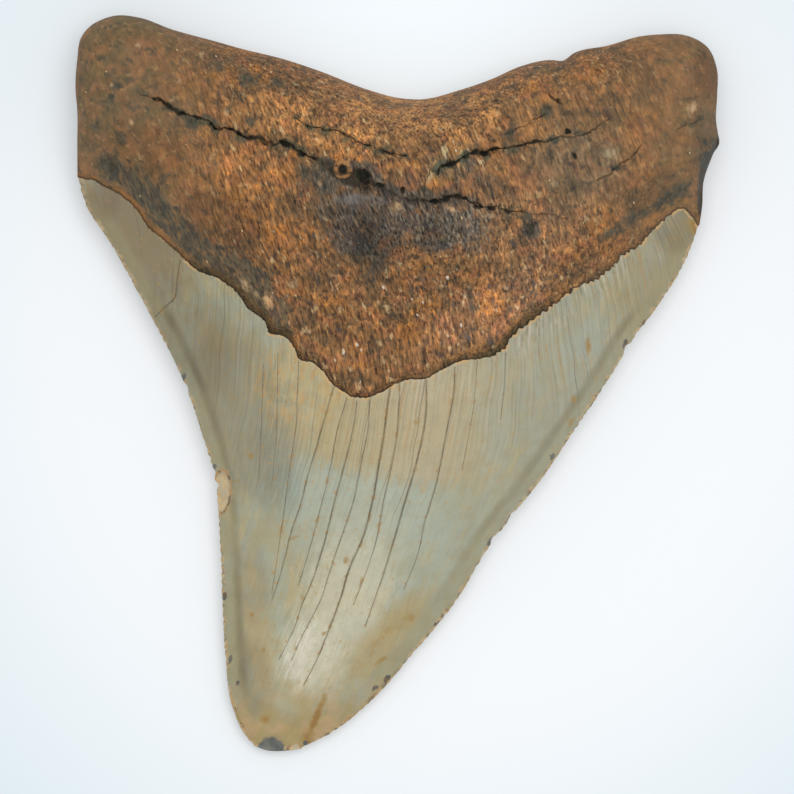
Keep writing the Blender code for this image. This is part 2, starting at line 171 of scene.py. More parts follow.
# Cutting edges and the blunt, broken tip
RIGHT_EDGE = (
    (48.5, 25.4), (46.5, 20.0), (42.2, 12.8), (37.8, 6.8), (35.4, 2.8), (27.6, -9.0),
    (23.1, -15.6), (18.5, -21.4), (14.5, -26.8), (9.8, -34.6), (3.1, -42.9),
    (-5.5, -52.3), (-10.2, -55.9), (-15.3, -58.5),
)
TIP_EDGE = ((-15.3, -58.5), (-17.4, -58.8), (-21.0, -58.7), (-22.8, -58.0))
LEFT_EDGE = (
    (-22.8, -58.0), (-24.4, -56.2), (-26.6, -50.9), (-27.4, -44.4), (-27.9, -35.0),
    (-28.4, -23.6), (-29.2, -15.0), (-31.4, -7.4), (-33.7, -0.7), (-37.4, 7.1),
    (-41.3, 14.3), (-46.0, 22.7), (-50.0, 29.1), (-51.0, 33.1),
)

# Notches in the outline: x, y, half length along the edge, depth
NOTCHES = (
    (36.6, 5.7, 1.2, 0.5), (15.9, -25.0, 1.3, 0.5), (18.4, -21.0, 1.2, 0.4),
    (-29.0, -16.3, 0.8, 0.6), (-29.2, -14.2, 1.3, 0.3), (51.2, 38.4, 1.5, -0.3),
    (-33.7, -0.7, 1.3, 0.3), (-26.9, -21.0, 1.0, 0.35),
)

# Where the enamel meets the root, on the upper face and on the underside
ENAMEL_LINE = (
    (-50.8, 32.9), (-48.1, 32.2), (-46.2, 31.3), (-44.1, 29.9), (-41.3, 27.5),
    (-39.4, 24.7), (-37.7, 23.3), (-35.0, 21.0), (-31.6, 17.9), (-29.0, 17.0),
    (-25.3, 14.3), (-23.6, 11.9), (-21.2, 10.2), (-19.8, 7.9), (-18.4, 7.6),
    (-16.2, 5.4), (-15.4, 3.8), (-13.4, 3.2), (-11.5, 1.6), (-10.3, 0.1),
    (-7.8, -1.8), (-5.8, -2.4), (-3.1, -1.8), (1.0, 0.4), (5.2, 0.9),
    (7.9, 2.5), (10.2, 3.5), (15.4, 4.4), (17.2, 5.5), (18.0, 7.0), (21.5, 9.9),
    (26.2, 13.3), (29.2, 15.6), (32.2, 16.7), (35.9, 20.1), (37.8, 21.3),
    (42.5, 25.9), (45.8, 27.8), (47.0, 27.0), (48.1, 25.2),
)
UNDER_ENAMEL_LINE = (
    (-50.8, 32.9), (-40.0, 27.0), (-27.0, 18.5), (-14.0, 11.5), (-4.0, 9.0), (8.0, 10.5),
    (22.0, 16.0), (36.0, 22.5), (48.1, 25.2),
)

# Long cracks: depth, half width, and the points the crack runs through
ROOT_CRACKS = (
    (0.2, 0.2, ((-41.3, 46.4), (-40.2, 45.8), (-39.2, 45.5), (-38.3, 45.1))),
    (0.9, 0.36, ((-38.6, 45.3), (-37.7, 45.2), (-36.2, 44.1), (-34.7, 43.1),
                 (-33.5, 42.8), (-31.3, 42.2), (-29.8, 41.6), (-28.8, 40.4), (-27.4, 40.7),
                 (-26.4, 40.3), (-24.9, 39.8), (-23.7, 39.0), (-22.0, 39.1), (-20.7, 38.4),
                 (-19.5, 37.9), (-18.0, 38.4), (-16.8, 37.9), (-15.5, 36.8), (-14.3, 36.2),
                 (-12.8, 35.6))),
    (0.5, 0.22, ((-16.1, 42.2), (-14.3, 41.0), (-11.0, 40.4), (-8.0, 39.5), (-5.7, 38.3),
                 (-3.3, 37.3), (-0.9, 36.5), (1.5, 36.1))),
    (0.9, 0.34, ((6.6, 33.2), (7.2, 34.4), (9.0, 35.0), (10.8, 35.9), (12.9, 36.7),
                 (14.0, 36.5), (15.2, 37.1), (17.2, 37.4))),
    (0.5, 0.24, ((17.0, 37.3), (19.2, 37.7), (21.5, 38.3), (23.4, 38.4), (25.6, 39.1))),
    (0.25, 0.16, ((25.4, 39.1), (28.4, 39.3), (30.8, 40.1), (34.0, 42.2))),
    (0.8, 0.34, ((4.5, 29.1), (5.4, 28.9), (7.2, 29.1), (9.3, 29.8), (10.8, 29.4),
                 (12.6, 28.3), (13.5, 28.0))),
    (0.4, 0.26, ((13.4, 28.0), (15.6, 27.9), (17.6, 27.4), (20.0, 27.3))),
    (0.15, 0.15, ((20.0, 27.3), (22.0, 26.7), (24.6, 26.9), (27.0, 26.2))),
    (0.2, 0.5, ((-12.8, 35.6), (-11.0, 34.6), (-9.4, 33.2), (-7.2, 33.4), (-5.0, 32.2),
                (-2.2, 30.9), (0.2, 29.7), (2.4, 29.1), (4.5, 29.1))),
    (0.3, 0.14, ((23.9, 46.2), (25.0, 45.2), (26.2, 44.5))),
    (0.25, 0.2, ((17.4, 39.6), (18.6, 40.2), (21.2, 41.4), (23.6, 42.8))),
    (0.3, 0.2, ((32.1, 32.4), (34.0, 33.4), (35.6, 34.8), (37.5, 36.1), (39.0, 37.9))),
    (0.2, 0.16, ((44.7, 40.4), (46.3, 41.1), (48.2, 42.0))),
    (0.25, 0.14, ((5.4, 34.0), (4.6, 32.0), (4.5, 29.8))),
)
CROWN_CRACKS = (
    (0.10, 0.07, ((-21.2, 3.0), (-21.4, -2.6), (-21.6, -8.0), (-22.0, -15.4))),
    (0.10, 0.07, ((-18.9, 4.6), (-19.0, -2.6), (-19.2, -9.0), (-19.8, -15.4))),
    (0.14, 0.08, ((-15.5, 4.4), (-15.7, 0.7), (-16.1, -7.7), (-16.7, -11.4), (-17.7, -18.6),
                  (-18.6, -25.0), (-19.9, -33.5))),
    (0.20, 0.10, ((-10.0, -0.6), (-10.8, -3.4), (-12.4, -9.0), (-14.3, -15.4), (-15.3, -19.4),
                  (-16.7, -23.4), (-17.7, -27.4), (-18.8, -31.4), (-19.9, -34.6))),
    (0.16, 0.08, ((-7.9, -2.4), (-9.4, -7.4), (-10.5, -13.3), (-12.4, -21.0), (-13.8, -26.3),
                  (-15.6, -32.2))),
    (0.22, 0.11, ((-6.3, -2.8), (-6.6, -5.6), (-7.1, -8.2), (-8.7, -14.6), (-10.0, -19.4),
                  (-11.6, -25.8), (-13.7, -32.2), (-15.1, -35.4), (-16.1, -38.6),
                  (-17.2, -41.0), (-18.8, -44.2))),
    (0.18, 0.09, ((-4.3, -2.6), (-4.4, -6.2), (-5.5, -12.2), (-6.8, -18.6), (-9.2, -25.8),
                  (-10.8, -30.6), (-12.1, -34.6), (-13.7, -37.8), (-15.1, -40.5), (-16.7, -44.2))),
    (0.30, 0.13, ((-1.0, -0.8), (-1.2, -2.0), (-2.0, -8.2), (-2.8, -13.0), (-3.6, -17.8),
                  (-4.2, -20.5), (-5.2, -24.2), (-7.6, -29.8), (-9.0, -34.6), (-10.8, -39.4),
                  (-12.6, -43.9), (-13.7, -46.1), (-14.8, -48.2))),
    (0.18, 0.09, ((0.5, 0.0), (0.4, -3.4), (0.1, -8.2), (-0.9, -13.8), (-2.0, -18.6),
                  (-3.2, -25.0), (-5.0, -30.6), (-6.8, -35.2))),
    (0.26, 0.12, ((4.8, 0.5), (4.6, -5.8), (3.3, -12.2), (2.2, -16.2), (1.2, -19.4),
                  (0.1, -23.4), (-0.9, -26.6), (-2.1, -30.6), (-3.5, -34.6), (-4.9, -38.6))),
    (0.22, 0.10, ((9.3, 2.6), (9.2, -0.6), (8.7, -4.2), (7.9, -8.2), (7.0, -13.0),
                  (6.3, -16.2), (4.4, -22.6), (3.6, -26.6), (1.2, -33.0))),
    (0.10, 0.07, ((12.9, 3.6), (12.4, -3.0), (11.5, -8.4), (10.5, -13.8))),
    (0.10, 0.07, ((17.4, 4.8), (17.2, -1.0), (16.6, -5.8))),
    (0.22, 0.12, ((-38.5, 10.7), (-36.4, 12.7), (-35.6, 13.4), (-35.0, 16.4), (-34.5, 19.5))),
)

# Small hollows in the root: x, y, half length, half width, turn in degrees, depth
HOLLOWS = (
    (1.0, 30.6, 0.42, 0.65, 10.0, 1.2), (-8.5, 34.0, 0.75, 0.7, 0.0, 0.8),
    (-5.2, 32.9, 1.8, 1.1, -48.0, 1.4), (-2.6, 31.4, 0.9, 0.5, -20.0, 0.8),
    (27.3, 40.1, 0.5, 0.55, 0.0, 0.8), (25.7, 44.9, 0.35, 0.5, 0.0, 0.6),
    (28.4, 36.1, 0.35, 0.7, 20.0, 0.6), (21.2, 24.6, 1.7, 1.1, 40.0, 0.42),
    (-45.4, 35.0, 1.2, 1.4, 0.0, 0.35), (-25.0, 39.6, 0.75, 0.4, -20.0, 0.7),
    (-17.6, 37.9, 0.9, 0.5, -25.0, 0.7), (-28.8, 40.7, 0.6, 0.5, -30.0, 0.7),
    (-16.0, 40.9, 0.35, 0.5, 10.0, 0.4), (16.0, 44.9, 0.4, 0.4, 0.0, 0.4),
    (32.1, 49.9, 0.3, 0.3, 0.0, 0.4), (12.6, 28.0, 0.6, 0.4, 0.0, 0.6),
    (14.4, 36.5, 1.3, 0.45, 12.0, 0.7), (15.0, 27.8, 0.8, 0.4, -10.0, 0.6),
    (6.0, 29.0, 0.7, 0.35, 5.0, 0.5), (8.4, 34.9, 0.8, 0.3, 40.0, 0.5),
    (-38.0, 40.0, 0.5, 0.8, 20.0, 0.3), (-44.0, 41.5, 0.6, 0.9, 15.0, 0.3),
)
# Chips: x, y, half length, half width, turn in degrees, depth
SLATE_CHIPS = (
    (36.6, 6.2, 1.0, 0.5, 80.0, 0.5), (39.6, 9.8, 0.6, 0.3, 60.0, 0.3),
    (25.0, -11.7, 0.8, 0.35, 55.0, 0.3), (18.2, -21.3, 0.7, 0.3, 50.0, 0.4),
    (15.1, -25.2, 0.9, 0.45, 60.0, 0.5), (-1.5, -47.2, 0.8, 0.5, 40.0, 0.3),
    (-3.4, -48.8, 0.6, 0.4, 30.0, 0.2), (-27.5, -34.1, 0.7, 0.45, 90.0, 0.3),
    (-26.6, -44.2, 0.8, 0.35, 75.0, 0.3), (-25.4, -47.9, 0.5, 0.3, 75.0, 0.2),
    (-34.1, 1.0, 0.9, 0.45, 62.0, 0.4), (-29.1, -13.4, 0.6, 0.35, 90.0, 0.3),
    (-20.1, -58.7, 2.5, 2.5, 0.0, 0.7), (49.2, 31.4, 6.4, 1.2, 87.0, 0.8),
    (50.9, 37.8, 2.4, 0.6, 62.0, 0.6),
    (-14.6, -57.6, 0.5, 0.4, 20.0, 0.2), (6.2, -38.6, 0.4, 0.25, 50.0, 0.2),
)
FRESH_CHIPS = (
    (-28.0, -17.3, 4.0, 1.75, 86.0, 1.0),
    (-16.3, -58.3, 1.1, 0.7, 10.0, 0.4),
)

# Soft patches of colour: x, y, half length, half width, turn in degrees, strength
RUST_STAINS = (
    (-13.0, -53.8, 4.6, 0.62, 68.0, 1.3), (-14.2, -57.0, 2.0, 1.0, 76.0, 1.0),
    (-20.9, -53.8, 1.2, 0.8, 30.0, 0.8), (47.8, 24.6, 2.6, 0.6, -62.0, 1.2),
    (-3.0, -41.6, 9.0, 1.1, 48.0, 0.35),
    (2.1, -37.4, 1.5, 0.8, 60.0, 0.7), (-2.7, -44.5, 1.6, 0.45, 35.0, 0.9),
    (-23.1, -37.0, 0.5, 0.4, 90.0, 0.8), (-23.3, -11.7, 0.7, 0.5, 90.0, 0.7),
    (30.6, 6.2, 1.6, 0.5, 95.0, 0.8), (29.6, 4.2, 1.0, 0.9, 60.0, 0.4),
    (28.4, -2.6, 0.9, 0.5, 90.0, 0.7), (28.0, -6.1, 1.0, 0.5, 70.0, 0.7),
    (-15.5, -23.0, 0.7, 0.35, 90.0, 0.7), (-12.6, -21.8, 0.7, 0.3, 75.0, 0.6),
    (-16.2, -24.6, 1.8, 0.35, 20.0, 0.5), (-8.0, -28.2, 0.7, 0.4, 70.0, 0.9),
    (-5.7, -31.8, 0.9, 0.35, 70.0, 0.9), (-11.6, -40.1, 0.7, 0.35, 60.0, 0.8),
    (-21.2, -42.6, 0.6, 0.35, 80.0, 0.7), (-19.4, -15.1, 0.6, 0.4, 90.0, 0.6),
    (-12.1, -10.6, 0.8, 0.5, 80.0, 0.4), (3.2, -6.4, 0.8, 0.7, 90.0, 0.6),
    (0.8, -4.2, 2.4, 0.3, 85.0, 0.5), (2.0, -18.6, 0.6, 0.4, 90.0, 0.6),
    (-15.0, -34.2, 0.6, 0.4, 90.0, 0.6), (44.5, 23.0, 1.0, 0.7, 60.0, 0.5),
    (-25.6, -15.6, 0.9, 0.5, 10.0, 0.5), (-21.0, -46.5, 3.0, 1.4, 80.0, 0.3),
)
DARK_PATCHES = (
    (-3.0, 26.4, 11.0, 5.2, -6.0, 1.05), (7.0, 25.2, 9.0, 4.6, -4.0, 1.05),
    (-5.5, 24.6, 5.0, 5.2, 10.0, 1.3), (6.0, 23.6, 4.5, 3.0, -20.0, 1.3),
    (-12.0, 32.4, 4.5, 2.6, -30.0, 1.0), (-5.6, 32.6, 3.0, 2.2, -35.0, 1.8),
    (-10.8, 34.4, 2.4, 1.0, -35.0, 1.4), (-1.0, 30.5, 3.2, 0.8, -15.0, 1.6),
    (-8.6, 33.0, 4.4, 1.4, -33.0, 1.8),
    (3.0, 29.0, 5.5, 1.8, 0.0, 1.3), (-3.6, 20.0, 1.8, 5.0, 8.0, 0.7),
    (14.0, 31.5, 8.0, 4.4, 8.0, 0.4), (10.0, 29.0, 6.0, 3.0, -10.0, 0.75),
    (-45.7, 35.0, 1.7, 2.6, 20.0, 1.3), (-47.0, 44.0, 2.0, 5.0, 0.0, 0.4),
    (21.4, 24.8, 1.25, 1.75, 25.0, 2.2), (36.0, 25.0, 7.0, 1.6, 38.0, 0.8),
    (49.6, 34.0, 1.4, 7.5, 0.0, 0.9), (44.2, 29.9, 4.2, 1.4, 35.0, 1.1),
    (-45.3, 56.3, 1.4, 1.5, 0.0, 0.6), (-46.9, 51.9, 1.1, 0.7, 0.0, 0.9),
    (-44.4, 47.3, 1.2, 1.0, 0.0, 1.0), (-45.5, 45.4, 0.7, 1.3, -25.0, 1.0),
    (-46.6, 43.5, 1.2, 1.0, -40.0, 0.8), (-47.8, 41.4, 1.0, 1.4, 0.0, 0.9),
    (-41.5, 43.5, 0.7, 1.3, 10.0, 0.8), (-46.0, 49.4, 1.1, 0.8, 0.0, 0.6),
    (-43.9, 39.3, 1.7, 1.9, 0.0, 0.7), (-39.3, 52.9, 1.4, 0.8, 0.0, 0.6),
    (-48.3, 37.6, 0.8, 1.2, 0.0, 0.7), (-32.4, 41.4, 1.3, 0.9, 0.0, 1.1),
    (-28.9, 50.2, 2.0, 1.4, -20.0, 0.8), (-23.7, 48.5, 2.2, 1.6, -20.0, 0.7),
    (-19.5, 47.5, 1.6, 1.4, 0.0, 0.7), (-23.4, 41.5, 0.8, 0.8, 0.0, 0.9),
    (-37.2, 32.6, 1.2, 1.4, 0.0, 0.9), (-29.4, 35.3, 1.0, 1.4, 20.0, 0.6),
    (18.0, 39.9, 1.6, 1.2, 30.0, 0.9), (24.0, 43.5, 1.4, 1.8, 30.0, 0.7),
    (28.0, 38.0, 1.6, 4.0, 0.0, 0.5), (12.0, 12.0, 0.9, 3.2, 0.0, 0.7),
    (2.0, 14.5, 0.8, 2.4, 0.0, 0.5), (6.8, 15.6, 0.8, 2.0, 0.0, 0.5),
    (-15.4, 28.0, 1.2, 3.0, 10.0, 0.5), (24.0, 28.0, 1.4, 2.2, 10.0, 0.4),
)
ORANGE_PATCHES = (
    (-31.0, 32.0, 9.0, 4.5, -25.0, 0.9), (-19.0, 25.0, 4.0, 5.5, -10.0, 1.0),
    (-12.0, 44.0, 9.0, 3.5, -15.0, 0.7), (-2.0, 40.0, 9.0, 3.4, -10.0, 0.9),
    (16.0, 19.5, 7.0, 3.6, 20.0, 0.8), (-4.0, 12.0, 10.0, 5.0, 0.0, 0.5),
    (10.0, 41.0, 8.0, 3.0, 15.0, 0.8), (30.0, 47.0, 8.0, 3.0, 10.0, 0.4),
    (-20.0, 34.6, 7.0, 1.8, -20.0, 0.8), (24.0, 32.0, 5.0, 3.0, 20.0, 0.5),
)
PALE_PATCHES = (
    (34.3, 36.6, 1.7, 1.2, 100.0, 1.0), (47.2, 43.9, 1.2, 0.9, 60.0, 0.8),
    (0.1, 28.1, 1.2, 0.8, 0.0, 0.8), (5.2, 32.6, 1.3, 0.6, 50.0, 0.9),
    (-16.4, 15.8, 0.7, 1.2, 0.0, 0.8), (-20.4, 12.9, 0.9, 1.4, 20.0, 0.9),
    (33.2, 33.6, 0.9, 0.6, 0.0, 0.6), (-22.4, 14.2, 0.8, 0.6, -30.0, 0.7),
    (4.2, 13.4, 1.2, 0.6, 0.0, 0.7), (-12.0, 31.6, 0.8, 0.5, 0.0, 0.6),
    (-41.0, 36.0, 0.7, 0.9, 0.0, 0.6), (-29.0, 36.5, 0.7, 1.1, -20.0, 0.7),
    (-45.4, 47.5, 0.5, 0.4, 0.0, 0.9), (-35.8, 45.0, 0.4, 0.6, 0.0, 0.9),
    (-31.0, 52.4, 0.5, 0.6, 0.0, 0.8), (-42.2, 41.5, 0.4, 0.5, 30.0, 0.8),
    (-41.1, 53.9, 0.5, 0.5, 0.0, 0.7), (-24.0, 15.6, 0.8, 1.3, 20.0, 0.9),
    (9.0, 27.6, 1.4, 0.4, -15.0, 0.7), (15.0, 26.6, 1.2, 0.4, -10.0, 0.7),
)
# Broad lighter and darker areas: x, y, half length, half width, turn in degrees, and
# what the red, green and blue are multiplied by
ROOT_SHADES = (
    (14.5, 11.5, 13.0, 4.6, 29.0, (1.5, 1.48, 1.62)),
    (-9.5, 39.4, 12.5, 4.6, -14.0, (1.26, 1.21, 1.13)),
    (-23.5, 34.8, 5.5, 3.6, -20.0, (1.5, 1.36, 1.22)),
    (-27.5, 26.0, 8.0, 4.6, -32.0, (0.66, 0.68, 0.72)),
    (-40.0, 37.0, 7.0, 5.0, -20.0, (0.88, 0.8, 0.74)),
    (-18.5, 11.8, 3.4, 3.0, -35.0, (1.4, 1.2, 1.1)),
    (28.8, 36.5, 7.0, 9.5, 8.0, (0.66, 0.79, 0.94)),
    (-4.0, 21.0, 3.8, 4.0, 0.0, (0.62, 0.66, 0.68)),
    (24.6, 24.0, 4.2, 4.2, 20.0, (1.35, 1.3, 1.35)),
    (8.6, 35.0, 6.0, 3.0, 12.0, (1.1, 1.26, 1.38)),
    (11.0, 25.0, 4.0, 3.6, 0.0, (1.3, 1.36, 1.42)),
    (20.5, 49.4, 5.5, 2.6, 14.0, (1.22, 1.22, 1.2)),
    (50.0, 50.0, 3.0, 5.5, 0.0, (0.74, 0.74, 0.8)),
    (49.6, 38.0, 3.0, 6.5, 0.0, (0.68, 0.8, 0.94)),
    (40.0, 30.0, 5.0, 3.0, 38.0, (0.72, 0.78, 0.84)),
)
CROWN_SHADES = (
    (-32.5, 8.0, 7.0, 10.5, 25.0, (0.76, 0.73, 0.68)),
    (44.5, 25.0, 4.0, 4.5, 0.0, (0.76, 0.71, 0.67)),
    (-23.0, -46.5, 3.0, 6.0, 8.0, (0.84, 0.8, 0.76)),
    (-18.6, -17.8, 3.6, 4.4, 0.0, (0.85, 0.87, 0.87)),
    (-23.0, -32.5, 3.4, 6.5, 0.0, (0.91, 0.84, 0.77)),
    (-47.0, 30.0, 3.4, 4.2, 0.0, (0.86, 0.79, 0.73)),
)
# White flecks in the root, near the enamel line: x, y
WHITE_FLECKS = (
    (-8.4, 5.1), (-6.3, 6.2), (-5.6, 5.4), (-8.9, 1.4), (-5.7, 0.3), (2.5, 13.4),
    (4.2, 12.9), (3.3, 11.0), (10.3, 9.4), (12.1, 9.9), (8.1, 16.9), (-2.1, 15.3),
)


class ToothForm(bpy.types.PropertyGroup):
    """Sizes of the form and of the mesh"""

    crown_rise: FloatProperty(
        name="Crown rise", description="Height of the blade above its cutting edges",
        default=0.0135, min=0.005, max=0.03, unit="LENGTH",
    )
    lobe_height: FloatProperty(
        name="Lobe height", description="Height of the root's lobes above the table",
        default=0.017, min=0.008, max=0.03, unit="LENGTH",
    )
    swelling_height: FloatProperty(
        name="Swelling", description="How far the middle of the root rises above the lobes",
        default=0.0085, min=0.0, max=0.02, unit="LENGTH",
    )
    point_spacing: FloatProperty(
        name="Point spacing", description="Distance between mesh points on the upper face",
        default=0.00036, min=0.0003, max=0.003, unit="LENGTH",
    )
    under_spacing: FloatProperty(
        name="Underside spacing", description="Distance between mesh points underneath",
        default=0.00075, min=0.0004, max=0.004, unit="LENGTH",
    )
    serration_pitch: FloatProperty(
        name="Serration pitch", description="Distance from one worn serration to the next",
        default=0.0013, min=0.0006, max=0.003, unit="LENGTH",
    )
    serration_depth: FloatProperty(
        name="Serration depth", description="Depth of the least worn serrations",
        default=0.00014, min=0.0, max=0.0006, unit="LENGTH",
    )


class ToothSurface(bpy.types.PropertyGroup):
    """Fine relief and grains"""

    fibre_width: FloatProperty(
        name="Fibre width", description="Width of one raised fibre of the root",
        default=0.0009, min=0.0003, max=0.004, unit="LENGTH",
    )
    fibre_length: FloatProperty(
        name="Fibre length", description="Length of one raised fibre of the root",
        default=0.0035, min=0.001, max=0.02, unit="LENGTH",
    )
    fibre_depth: FloatProperty(
        name="Fibre depth", description="Height of the root's fibres",
        default=0.00022, min=0.0, max=0.001, unit="LENGTH",
    )
    pit_depth: FloatProperty(
        name="Pit depth", description="Depth of the small pores in the root",
        default=0.00025, min=0.0, max=0.001, unit="LENGTH",
    )
    striation_depth: FloatProperty(
        name="Striation depth", description="Depth of the fine lines along the blade",
        default=0.00004, min=0.0, max=0.0005, unit="LENGTH",
    )
    seed: IntProperty(
        name="Seed", description="Picks one arrangement of fibres, pores and grains",
        default=7, min=0, max=999,
    )
    grain_count: IntProperty(
        name="Mineral grains", description="Number of pale grains set in the root",
        default=60, min=0, max=3000,
    )


class ToothColours(bpy.types.PropertyGroup):
    """Main colours of the finishes"""

    enamel: FloatVectorProperty(
        name="Enamel", description="Main colour of the blade",
        subtype="COLOR", size=3, default=(0.365, 0.322, 0.18), min=0.0, max=1.0,
    )
    cream: FloatVectorProperty(
        name="Cream", description="Palest part of the blade, near the tip",
        subtype="COLOR", size=3, default=(0.58, 0.54, 0.39), min=0.0, max=1.0,
    )
    tan: FloatVectorProperty(
        name="Tan", description="Warm cap below the root",
        subtype="COLOR", size=3, default=(0.435, 0.345, 0.172), min=0.0, max=1.0,
    )
    blue_grey: FloatVectorProperty(
        name="Blue grey", description="Cool band across the middle of the blade",
        subtype="COLOR", size=3, default=(0.372, 0.39, 0.288), min=0.0, max=1.0,
    )
    olive: FloatVectorProperty(
        name="Olive", description="Strip inside the cutting edges",
        subtype="COLOR", size=3, default=(0.3, 0.27, 0.148), min=0.0, max=1.0,
    )
    worn_edge: FloatVectorProperty(
        name="Worn edge", description="Thin line of dentine along the cutting edges",
        subtype="COLOR", size=3, default=(0.47, 0.3, 0.13), min=0.0, max=1.0,
    )
    slate: FloatVectorProperty(
        name="Slate", description="Dark broken faces in the chips",
        subtype="COLOR", size=3, default=(0.075, 0.082, 0.078), min=0.0, max=1.0,
    )
    rust: FloatVectorProperty(
        name="Rust", description="Iron stain on the blade",
        subtype="COLOR", size=3, default=(0.33, 0.205, 0.058), min=0.0, max=1.0,
    )
    root: FloatVectorProperty(
        name="Root", description="Main brown of the root",
        subtype="COLOR", size=3, default=(0.255, 0.127, 0.05), min=0.0, max=1.0,
    )
    root_orange: FloatVectorProperty(
        name="Orange root", description="Iron-stained areas of the root",
        subtype="COLOR", size=3, default=(0.47, 0.188, 0.045), min=0.0, max=1.0,
    )
    root_light: FloatVectorProperty(
        name="Root fibres", description="Light orange fibres of the root",
        subtype="COLOR", size=3, default=(0.52, 0.275, 0.105), min=0.0, max=1.0,
    )
    grain: FloatVectorProperty(
        name="Pale grains", description="Cream grains and flecks in the root",
        subtype="COLOR", size=3, default=(0.56, 0.38, 0.19), min=0.0, max=1.0,
    )


class StageSettings(bpy.types.PropertyGroup):
    """Camera, light and floor"""

    camera_height: FloatProperty(
        name="Camera height", description="Height of the camera above the cutting edges",
        default=2.5, min=0.5, max=10.0, unit="LENGTH",
    )
    view_width: FloatProperty(
        name="View width", description="Width of the picture at the tooth",
        default=0.12704, min=0.05, max=0.5, unit="LENGTH",
    )
    key_power: FloatProperty(
        name="Key light", description="Power of the large soft light overhead",
        default=14.5, min=0.0, max=500.0, subtype="POWER",
    )
    sky: FloatProperty(
        name="Surround", description="Brightness of the pale surround",
        default=0.74, min=0.0, max=3.0,
    )
    floor_colour: FloatVectorProperty(
        name="Floor", description="Colour of the pale floor",
        subtype="COLOR", size=3, default=(0.9, 0.918, 0.94), min=0.0, max=1.0,
    )


def smooth_curve(points, spacing):
    """Evenly spaced points on a smooth curve through the given points."""
    placed = np.array(points, float)
    chords = np.linalg.norm(np.diff(placed, axis=0), axis=1)
    knots = np.concatenate([[0.0], np.cumsum(chords)])
    slopes = np.gradient(placed, knots, axis=0)
    steps = np.linspace(0.0, knots[-1], max(2, round(knots[-1] / spacing) + 1))
    piece = np.clip(np.searchsorted(knots, steps, side="right") - 1, 0, len(placed) - 2)
    gap = (knots[piece + 1] - knots[piece])[:, None]
    t = (steps - knots[piece])[:, None] / gap
    start = (2 * t**3 - 3 * t**2 + 1) * placed[piece] + (t**3 - 2 * t**2 + t) * gap * slopes[piece]
    end = (3 * t**2 - 2 * t**3) * placed[piece + 1] + (t**3 - t**2) * gap * slopes[piece + 1]
    return start + end


def distance_to_line(points, line):
    """Shortest distance from each point to an open line of straight pieces."""
    begin = line[:-1]
    run = line[1:] - begin
    length_squared = np.maximum((run**2).sum(axis=1), 1e-9)
    result = np.empty(len(points))
    for first in range(0, len(points), BLOCK):
        block = points[first:first + BLOCK]
        off_x = block[:, :1] - begin[:, 0]
        off_y = block[:, 1:2] - begin[:, 1]
        along = np.clip((off_x * run[:, 0] + off_y * run[:, 1]) / length_squared, 0.0, 1.0)
        off_x -= along * run[:, 0]
        off_y -= along * run[:, 1]
        result[first:first + BLOCK] = np.sqrt((off_x**2 + off_y**2).min(axis=1))
    return result


def nearest_piece(points, line, reach):
    """Distance to a line, and the number of its nearest piece, for points within reach."""
    low, high = line.min(axis=0) - reach, line.max(axis=0) + reach
    near = np.flatnonzero(((points > low) & (points < high)).all(axis=1))
    distance = np.full(len(points), 1e3)
    piece = np.zeros(len(points), int)
    begin = line[:-1]
    run = line[1:] - begin
    length_squared = np.maximum((run**2).sum(axis=1), 1e-9)
    for first in range(0, len(near), BLOCK):
        chosen = near[first:first + BLOCK]
        off = points[chosen][:, None] - begin
        along = np.clip((off * run).sum(axis=2) / length_squared, 0.0, 1.0)
        gaps = np.linalg.norm(off - along[:, :, None] * run, axis=2)
        piece[chosen] = gaps.argmin(axis=1)
        distance[chosen] = gaps.min(axis=1)
    return distance, piece


def inside(points, outline):
    """True for the points that lie within a closed outline."""
    x0, y0 = outline[:, 0], outline[:, 1]
    x1, y1 = np.roll(x0, -1), np.roll(y0, -1)
    rise = np.where(np.abs(y1 - y0) < 1e-9, 1e-9, y1 - y0)
    result = np.empty(len(points), bool)
    for first in range(0, len(points), BLOCK):
        x = points[first:first + BLOCK, :1]
        y = points[first:first + BLOCK, 1:2]
        level = (y0 > y) != (y1 > y)
        crossing = x < (x1 - x0) * (y - y0) / rise + x0
        result[first:first + BLOCK] = (level & crossing).sum(axis=1) % 2 == 1
    return result


def smoothstep(value, low, high):
    """0 below low, 1 above high, and a smooth rise between."""
    t = np.clip((value - low) / (high - low), 0.0, 1.0)
    return t * t * (3.0 - 2.0 * t)


def quarter_round(distance, radius):
    """Rises from 0 to 1 as a quarter circle over the given radius."""
    t = np.clip(distance / radius, 0.0, 1.0)
    return np.sqrt(np.clip(1.0 - (1.0 - t) ** 2, 0.0, 1.0))


def lumps(points, size, seed):
    """Smooth uneven values from about -1 to 1, one for each point."""
    return np.array([noise.noise(Vector((x / size, y / size, seed))) for x, y in points])


def inward_normals(line):
    """Unit normals to the right of the direction of travel, which is clockwise."""
    travel = np.gradient(line, axis=0)
    travel /= np.linalg.norm(travel, axis=1)[:, None]
    return np.column_stack([travel[:, 1], -travel[:, 0]])


def serrated(points, spacing, form):
    """A cutting edge with worn serrations that come and go along it."""
    line = smooth_curve(points, spacing)
    pitch, depth = form.serration_pitch / MM, form.serration_depth / MM
    along = np.arange(len(line)) * spacing
    uneven = along + 0.5 * lumps(line, 2.1, 6.0)
    wear = np.clip(0.4 + 0.9 * lumps(line, 4.5, 1.0), 0.0, 1.0)
    push = depth * wear * (0.5 - 0.5 * np.cos(2.0 * math.pi * uneven / pitch)) ** 1.5
    push += 0.07 * (1.0 + lumps(line, 0.8, 4.0)) + 0.1 * np.clip(lumps(line, 1.9, 8.0), 0.0, 1.0)
    push[0] = push[-1] = 0.0
    return line + inward_normals(line) * push[:, None]


